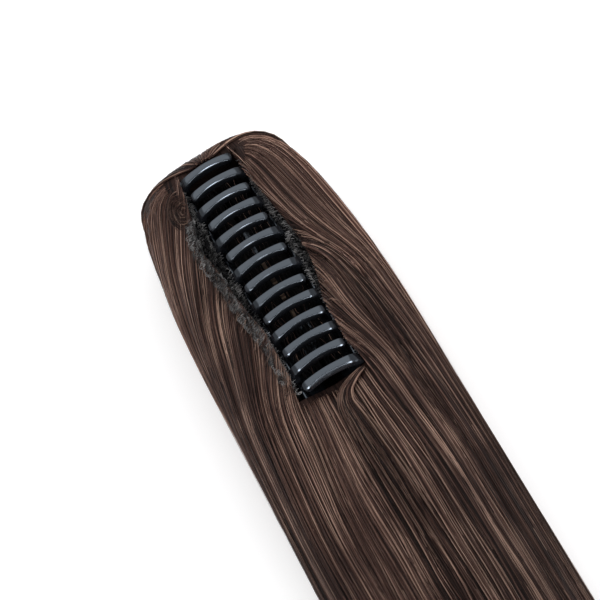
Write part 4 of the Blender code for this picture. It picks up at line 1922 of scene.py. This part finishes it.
    def round_bar(self, radius: float, low: float, high: float) -> Mesh:
        """A round bar along the hinge axis.

        Args:
            radius: Its radius.
            low: Where it starts along Y.
            high: Where it ends.

        Returns:
            The bar's mesh.
        """
        turns = [math.tau * i / self.bar_sides for i in range(self.bar_sides)]
        spots = [(radius * math.cos(a), HINGE_HEIGHT + radius * math.sin(a)) for a in turns]
        return loft("bar", [[Vector((x, y, z)) for x, z in spots] for y in (low, high)])

    def lug(self, centre: float) -> Mesh:
        """A round lug about the pin, carried back to the wall.

        Args:
            centre: The lug's middle along Y.

        Returns:
            The lug's mesh.
        """
        side, radius = self.side.value, self.lug_radius
        spots = []
        for share in shares(self.lug_steps + 1):
            turn = math.pi * (0.5 + share)
            spots.append((side * radius * math.cos(turn), HINGE_HEIGHT + radius * math.sin(turn)))
        spots += [(self.wall_place(), HINGE_HEIGHT + drop) for drop in (-radius / 2, radius / 2)]
        ends = (centre - self.lug_width / 2, centre + self.lug_width / 2)
        return loft("lug", [[Vector((x, y, z)) for x, z in spots] for y in ends])

    def wall_place(self) -> float:
        """Place across the clip of the wall's middle, beside the lugs."""
        return self.side.value * (self.lug_radius + self.clearance + self.wall / 2)

    def tines(self) -> Mesh:
        """All the tines of this jaw, every other one of the clip's.

        Returns:
            One mesh of them all.
        """
        geometry = bmesh.new()
        for number in range(0 if self.side is Side.LEFT else 1, self.tine_count, 2):
            mesh = loft("tine", self.tine(number))
            geometry.from_mesh(mesh)
            bpy.data.meshes.remove(mesh)
        mesh = bpy.data.meshes.new("tines")
        geometry.to_mesh(mesh)
        geometry.free()
        return mesh

    def build(self, finish: Material) -> None:
        """Fuse the parts of the jaw, bore it and dress it.

        Args:
            finish: The plastic.
        """
        side, start = self.side.value, self.wall_place()
        wall = [Vector((start, HINGE_HEIGHT - self.lug_radius / 2))]
        wall.append(Vector((start, HINGE_HEIGHT + self.lug_radius / 4)))
        wall += [self.spot(across, rise) for across, rise in WALL_LINE]
        lever = [Vector((start, HINGE_HEIGHT + self.lug_radius / 5)), wall[0]]
        for across, drop in LEVER_LINE:
            x = side * across * self.half_width
            lever.append(Vector((x, HINGE_HEIGHT - drop * self.lever_drop)))
        shift = side * (self.lug_width + 2 * self.clearance) / 2
        parts = [
            ("UNION", self.plate(lever, self.lever_width / 2)),
            ("UNION", self.tines()),
            ("UNION", self.lug(self.lug_centre + shift)),
            ("UNION", self.lug(-self.lug_centre + shift)),
            ("DIFFERENCE", self.round_bar(self.bore_radius, -JAW_HALF, JAW_HALF)),
        ]
        name = f"{self.side.word}_jaw"
        body = link(name, self.plate(wall, JAW_HALF))
        tools = [link("tool", mesh) for _, mesh in parts]
        for (operation, _), tool in zip(parts, tools):
            modifier = body.modifiers.new("fuse", "BOOLEAN")
            modifier.operation = operation
            modifier.solver = "EXACT"
            modifier.object = tool
        piece = baked(f"{name}_moulding", body, finish)
        for tool in tools:
            bpy.data.objects.remove(tool, do_unlink=True)
        piece.data.shade_smooth()
        piece.data.set_sharp_from_angle(angle=self.sharp_angle)
        settle(piece, f"{self.side.word}_claw", Slot.PLASTIC, name)


# Section of the sewn band: out as a share of its thickness, whether it ripples, and
# rise as a share of the tines' rise.
BAND_RING = (
    # out, ripple, rise
    (0.00, 0.0, 0.300),
    (0.55, 0.0, 0.285),
    (1.00, 1.0, 0.480),
    (1.00, 1.0, 0.690),
    (0.70, 0.0, 0.775),
    (0.00, 0.0, 0.770),
)


@dataclass
class Weft:
    """The sewn band along one jaw, with its curly thread and short hair."""

    side: Side
    inner: float = 14.6 * MM
    thickness: float = 2.1 * MM
    length: float = 109.0 * MM
    ripple: float = 0.45 * MM
    loops: int = 13
    frizz_radius: float = 27.1 * MM
    frizz_turns: tuple = (math.radians(31.0), math.radians(57.0))
    flange_radius: float = 24.4 * MM
    flange_thickness: float = 1.2 * MM
    flange_turns: tuple = (math.radians(45.0), math.radians(57.5))
    inner_radius: float = 19.5 * MM
    inner_turns: tuple = (math.radians(3.0), math.radians(30.0))
    columns: int = 14
    rows: int = 120

    def ring(self, y: float) -> list[Vector]:
        """The band's section at one place along Y.

        Args:
            y: The place along Y.

        Returns:
            The ring's points.
        """
        wave = self.ripple * math.cos(math.tau * self.loops * y / self.length)
        ring = []
        for out, ripple, rise in BAND_RING:
            x = self.inner + out * self.thickness + ripple * wave
            ring.append(Vector((self.side.value * x, y, HINGE_HEIGHT + rise * TINE_RISE)))
        return ring

    def band(self) -> Mesh:
        """The band's body."""
        places = [self.length * (run - 0.5) for run in shares(self.loops * 8 + 1)]
        return loft("weft", [self.ring(y) for y in places])

    def arc_sheet(self, name: str, radius: float, turns: tuple) -> FlowSheet:
        """A sheet about the hinge axis, whose V runs along the clip.

        Args:
            name: What it carries.
            radius: Its distance from the hinge axis.
            turns: Where it starts and ends, as angles from straight up.

        Returns:
            The sheet.
        """
        grid = [
            [on_arc(self.side, radius, blend(*turns, u), self.length * (0.5 - v))
             for v in shares(self.rows)]
            for u in shares(self.columns)
        ]
        return FlowSheet(f"{self.side.word}_{name}", grid, self.side is Side.RIGHT)

    def flange(self) -> Mesh:
        """The band's outer flange, which the thread lies on.

        Returns:
            The flange's mesh.
        """
        steps, under = shares(11), self.flange_radius - self.flange_thickness
        spots = [(self.flange_radius, share) for share in steps]
        spots += [(under, share) for share in steps[::-1]]
        rings = [
            [on_arc(self.side, radius, blend(*self.flange_turns, share), y)
             for radius, share in spots]
            for y in (-self.length / 2, self.length / 2)
        ]
        return loft("flange", rings)

    def build(self, tree: StrandTree, finish: Material, dark: Material, hair: Material) -> None:
        """Make the band and grow its thread and the hair inside the jaw.

        Args:
            tree: What grows the thread.
            finish: The thread's material.
            dark: The band's and the lining's.
            hair: The caught hair's.
        """
        word, body = self.side.word, f"{self.side.word}_claw"
        band = add_piece(f"{word}_weft_band", self.band(), dark)
        settle(band, body, Slot.THREAD, f"{word}_weft")
        settle(add_piece(f"{word}_weft_flange", self.flange(), dark), body, Slot.THREAD)
        seed = 100 if self.side is Side.LEFT else 120
        curls = StrandStyle.loose(
            560, 30, 0.085 * MM, start_high=0.95, reach_low=0.03, reach_high=0.09,
            depth_low=0.3 * MM, depth_high=3.0 * MM, wander=0.35, waver=0.25 * MM, waves=70.0,
            curl=0.74 * MM, turns=5.0, seed=seed,
        )
        frizz = self.arc_sheet("frizz", self.frizz_radius, self.frizz_turns)
        tree.grow(f"{word}_weft_threads", frizz, curls, finish, body, Slot.THREAD)
        packed = StrandStyle.loose(
            170, 18, 0.20 * MM, start_high=0.7, reach_low=0.15, reach_high=0.5, wander=0.25,
            waver=0.8 * MM, waves=14.0, seed=seed + 1,
        )
        inner = self.arc_sheet("inner", self.inner_radius, self.inner_turns)
        tree.grow(f"{word}_lining", inner, packed, dark, body, Slot.THREAD)
        few = replace(packed, count=14, radius=0.11 * MM, depth_low=-1.0 * MM, seed=seed + 2)
        tree.grow(f"{word}_caught_hair", inner, few, hair, body)


# The studio's soft lights: place from the clip in metres, two sides, and watts.
LIGHTS = (
    # name, place, size, power
    ("overhead", (0.0, 0.75, 1.35), (2.4, 1.3), 13.5),
    ("front_strip", (0.0, -1.6, 0.36), (1.3, 0.30), 22.0),
    ("left_bank", (-1.6, -0.2, 0.55), (0.8, 1.4), 4.5),
    ("right_bank", (1.6, -0.2, 0.55), (0.8, 1.4), 17.0),
)


@dataclass
class Studio:
    """Floor, light and the camera at the photograph's viewing angle."""

    frame_width: int = 600
    focal: float = 1700.0
    sensor: float = 36.0
    floor_size: float = 8.0
    surround: float = 0.45
    place: tuple = (0.0051, -0.33699, 0.64484)
    right: tuple = (0.85512729, -0.45773601, -0.24338255)
    up: tuple = (0.51841809, 0.75503258, 0.40145795)

    def camera(self) -> None:
        """Set the camera by its place and its right and up directions."""
        right, up = Vector(self.right).normalized(), Vector(self.up).normalized()
        back = right.cross(up).normalized()
        data = bpy.data.cameras.new("camera")
        data.sensor_width = self.sensor
        data.lens = self.sensor * self.focal / self.frame_width
        camera = link("camera", data)
        turn = Matrix((right, up, back)).transposed().to_4x4()
        camera.matrix_world = Matrix.Translation(Vector(self.place) + CLIP_PLACE) @ turn
        bpy.context.scene.camera = camera

    def floor(self) -> None:
        """Lay the pale floor."""
        half = self.floor_size / 2
        mesh = bpy.data.meshes.new("floor")
        corners = [(-half, -half, 0), (half, -half, 0), (half, half, 0), (-half, half, 0)]
        mesh.from_pydata(corners, [], [(0, 1, 2, 3)])
        mesh.materials.append(FloorFinish("studio_floor").material())
        floor = link("floor", mesh)

    def light(self, name: str, place: tuple, size: tuple, power: float) -> None:
        """Hang one soft white light that faces the clip.

        Args:
            name: The light's name.
            place: Where it hangs, from the clip.
            size: Its two sides.
            power: Its power in watts.
        """
        data = bpy.data.lights.new(name, "AREA")
        data.shape = "RECTANGLE"
        data.size, data.size_y = size
        data.energy = power
        lamp = link(name, data)
        lamp.location = Vector(place) + CLIP_PLACE
        lamp.rotation_mode = "QUATERNION"
        lamp.rotation_quaternion = (Vector() - Vector(place)).to_track_quat("-Z", "Y")

    def world(self) -> None:
        """A white surround."""
        world = bpy.data.worlds.new("surround")
        world.use_nodes = True
        background = world.node_tree.nodes["Background"]
        background.inputs["Color"].default_value = (1.0, 1.0, 1.0, 1.0)
        background.inputs["Strength"].default_value = self.surround
        bpy.context.scene.world = world
        bpy.context.scene.view_settings.view_transform = "Standard"

    def build(self) -> None:
        """Set up the whole studio."""
        self.camera()
        self.floor()
        self.world()
        for row in LIGHTS:
            self.light(*row)


def main() -> None:
    """Build every piece of the hairpiece and the studio round it."""
    logging.basicConfig(level=logging.INFO, format="%(name)s: %(message)s")
    form, tree = HairForm(), StrandTree()
    hair = HairFinish("brown_strands").material()
    short_hair = HairFinish("brown_short_hair", rim_light_share=0.0).material()
    under_hair = UnderHairFinish("packed_hair").material()
    plastic = PlasticFinish("black_moulding").material()
    steel = SteelFinish("drawn_steel").material()
    thread = ThreadFinish("black_thread").material()
    matt = ThreadFinish("matt_lining", light=(0.014, 0.0125, 0.012), roughness=0.8, gloss=0.06)
    lining = matt.material()
    HairCore(form).build(under_hair)
    for side in Side:
        Mantle(form, side).build(tree, hair)
        Jaw(side).build(plastic)
        Weft(side).build(tree, thread, lining, short_hair)
        LipFrizz(form, side).build(tree, short_hair, thread)
    Underside(form).build(tree, hair)
    Cap(form).build(tree, short_hair)
    Whorl(form).build(tree, short_hair)
    LooseLock(form, "swoop_lock", SWOOP_PATH, 110, 200).build(tree, short_hair)
    LooseLock(form, "burst_lock", BURST_PATH, 70, 210).build(tree, short_hair)
    for node in ("hinge_pin", "torsion_spring"):
        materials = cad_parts[node].data.materials
        materials.clear()
        materials.append(steel)
    Studio().build()


if __name__ == "__main__":
    main()
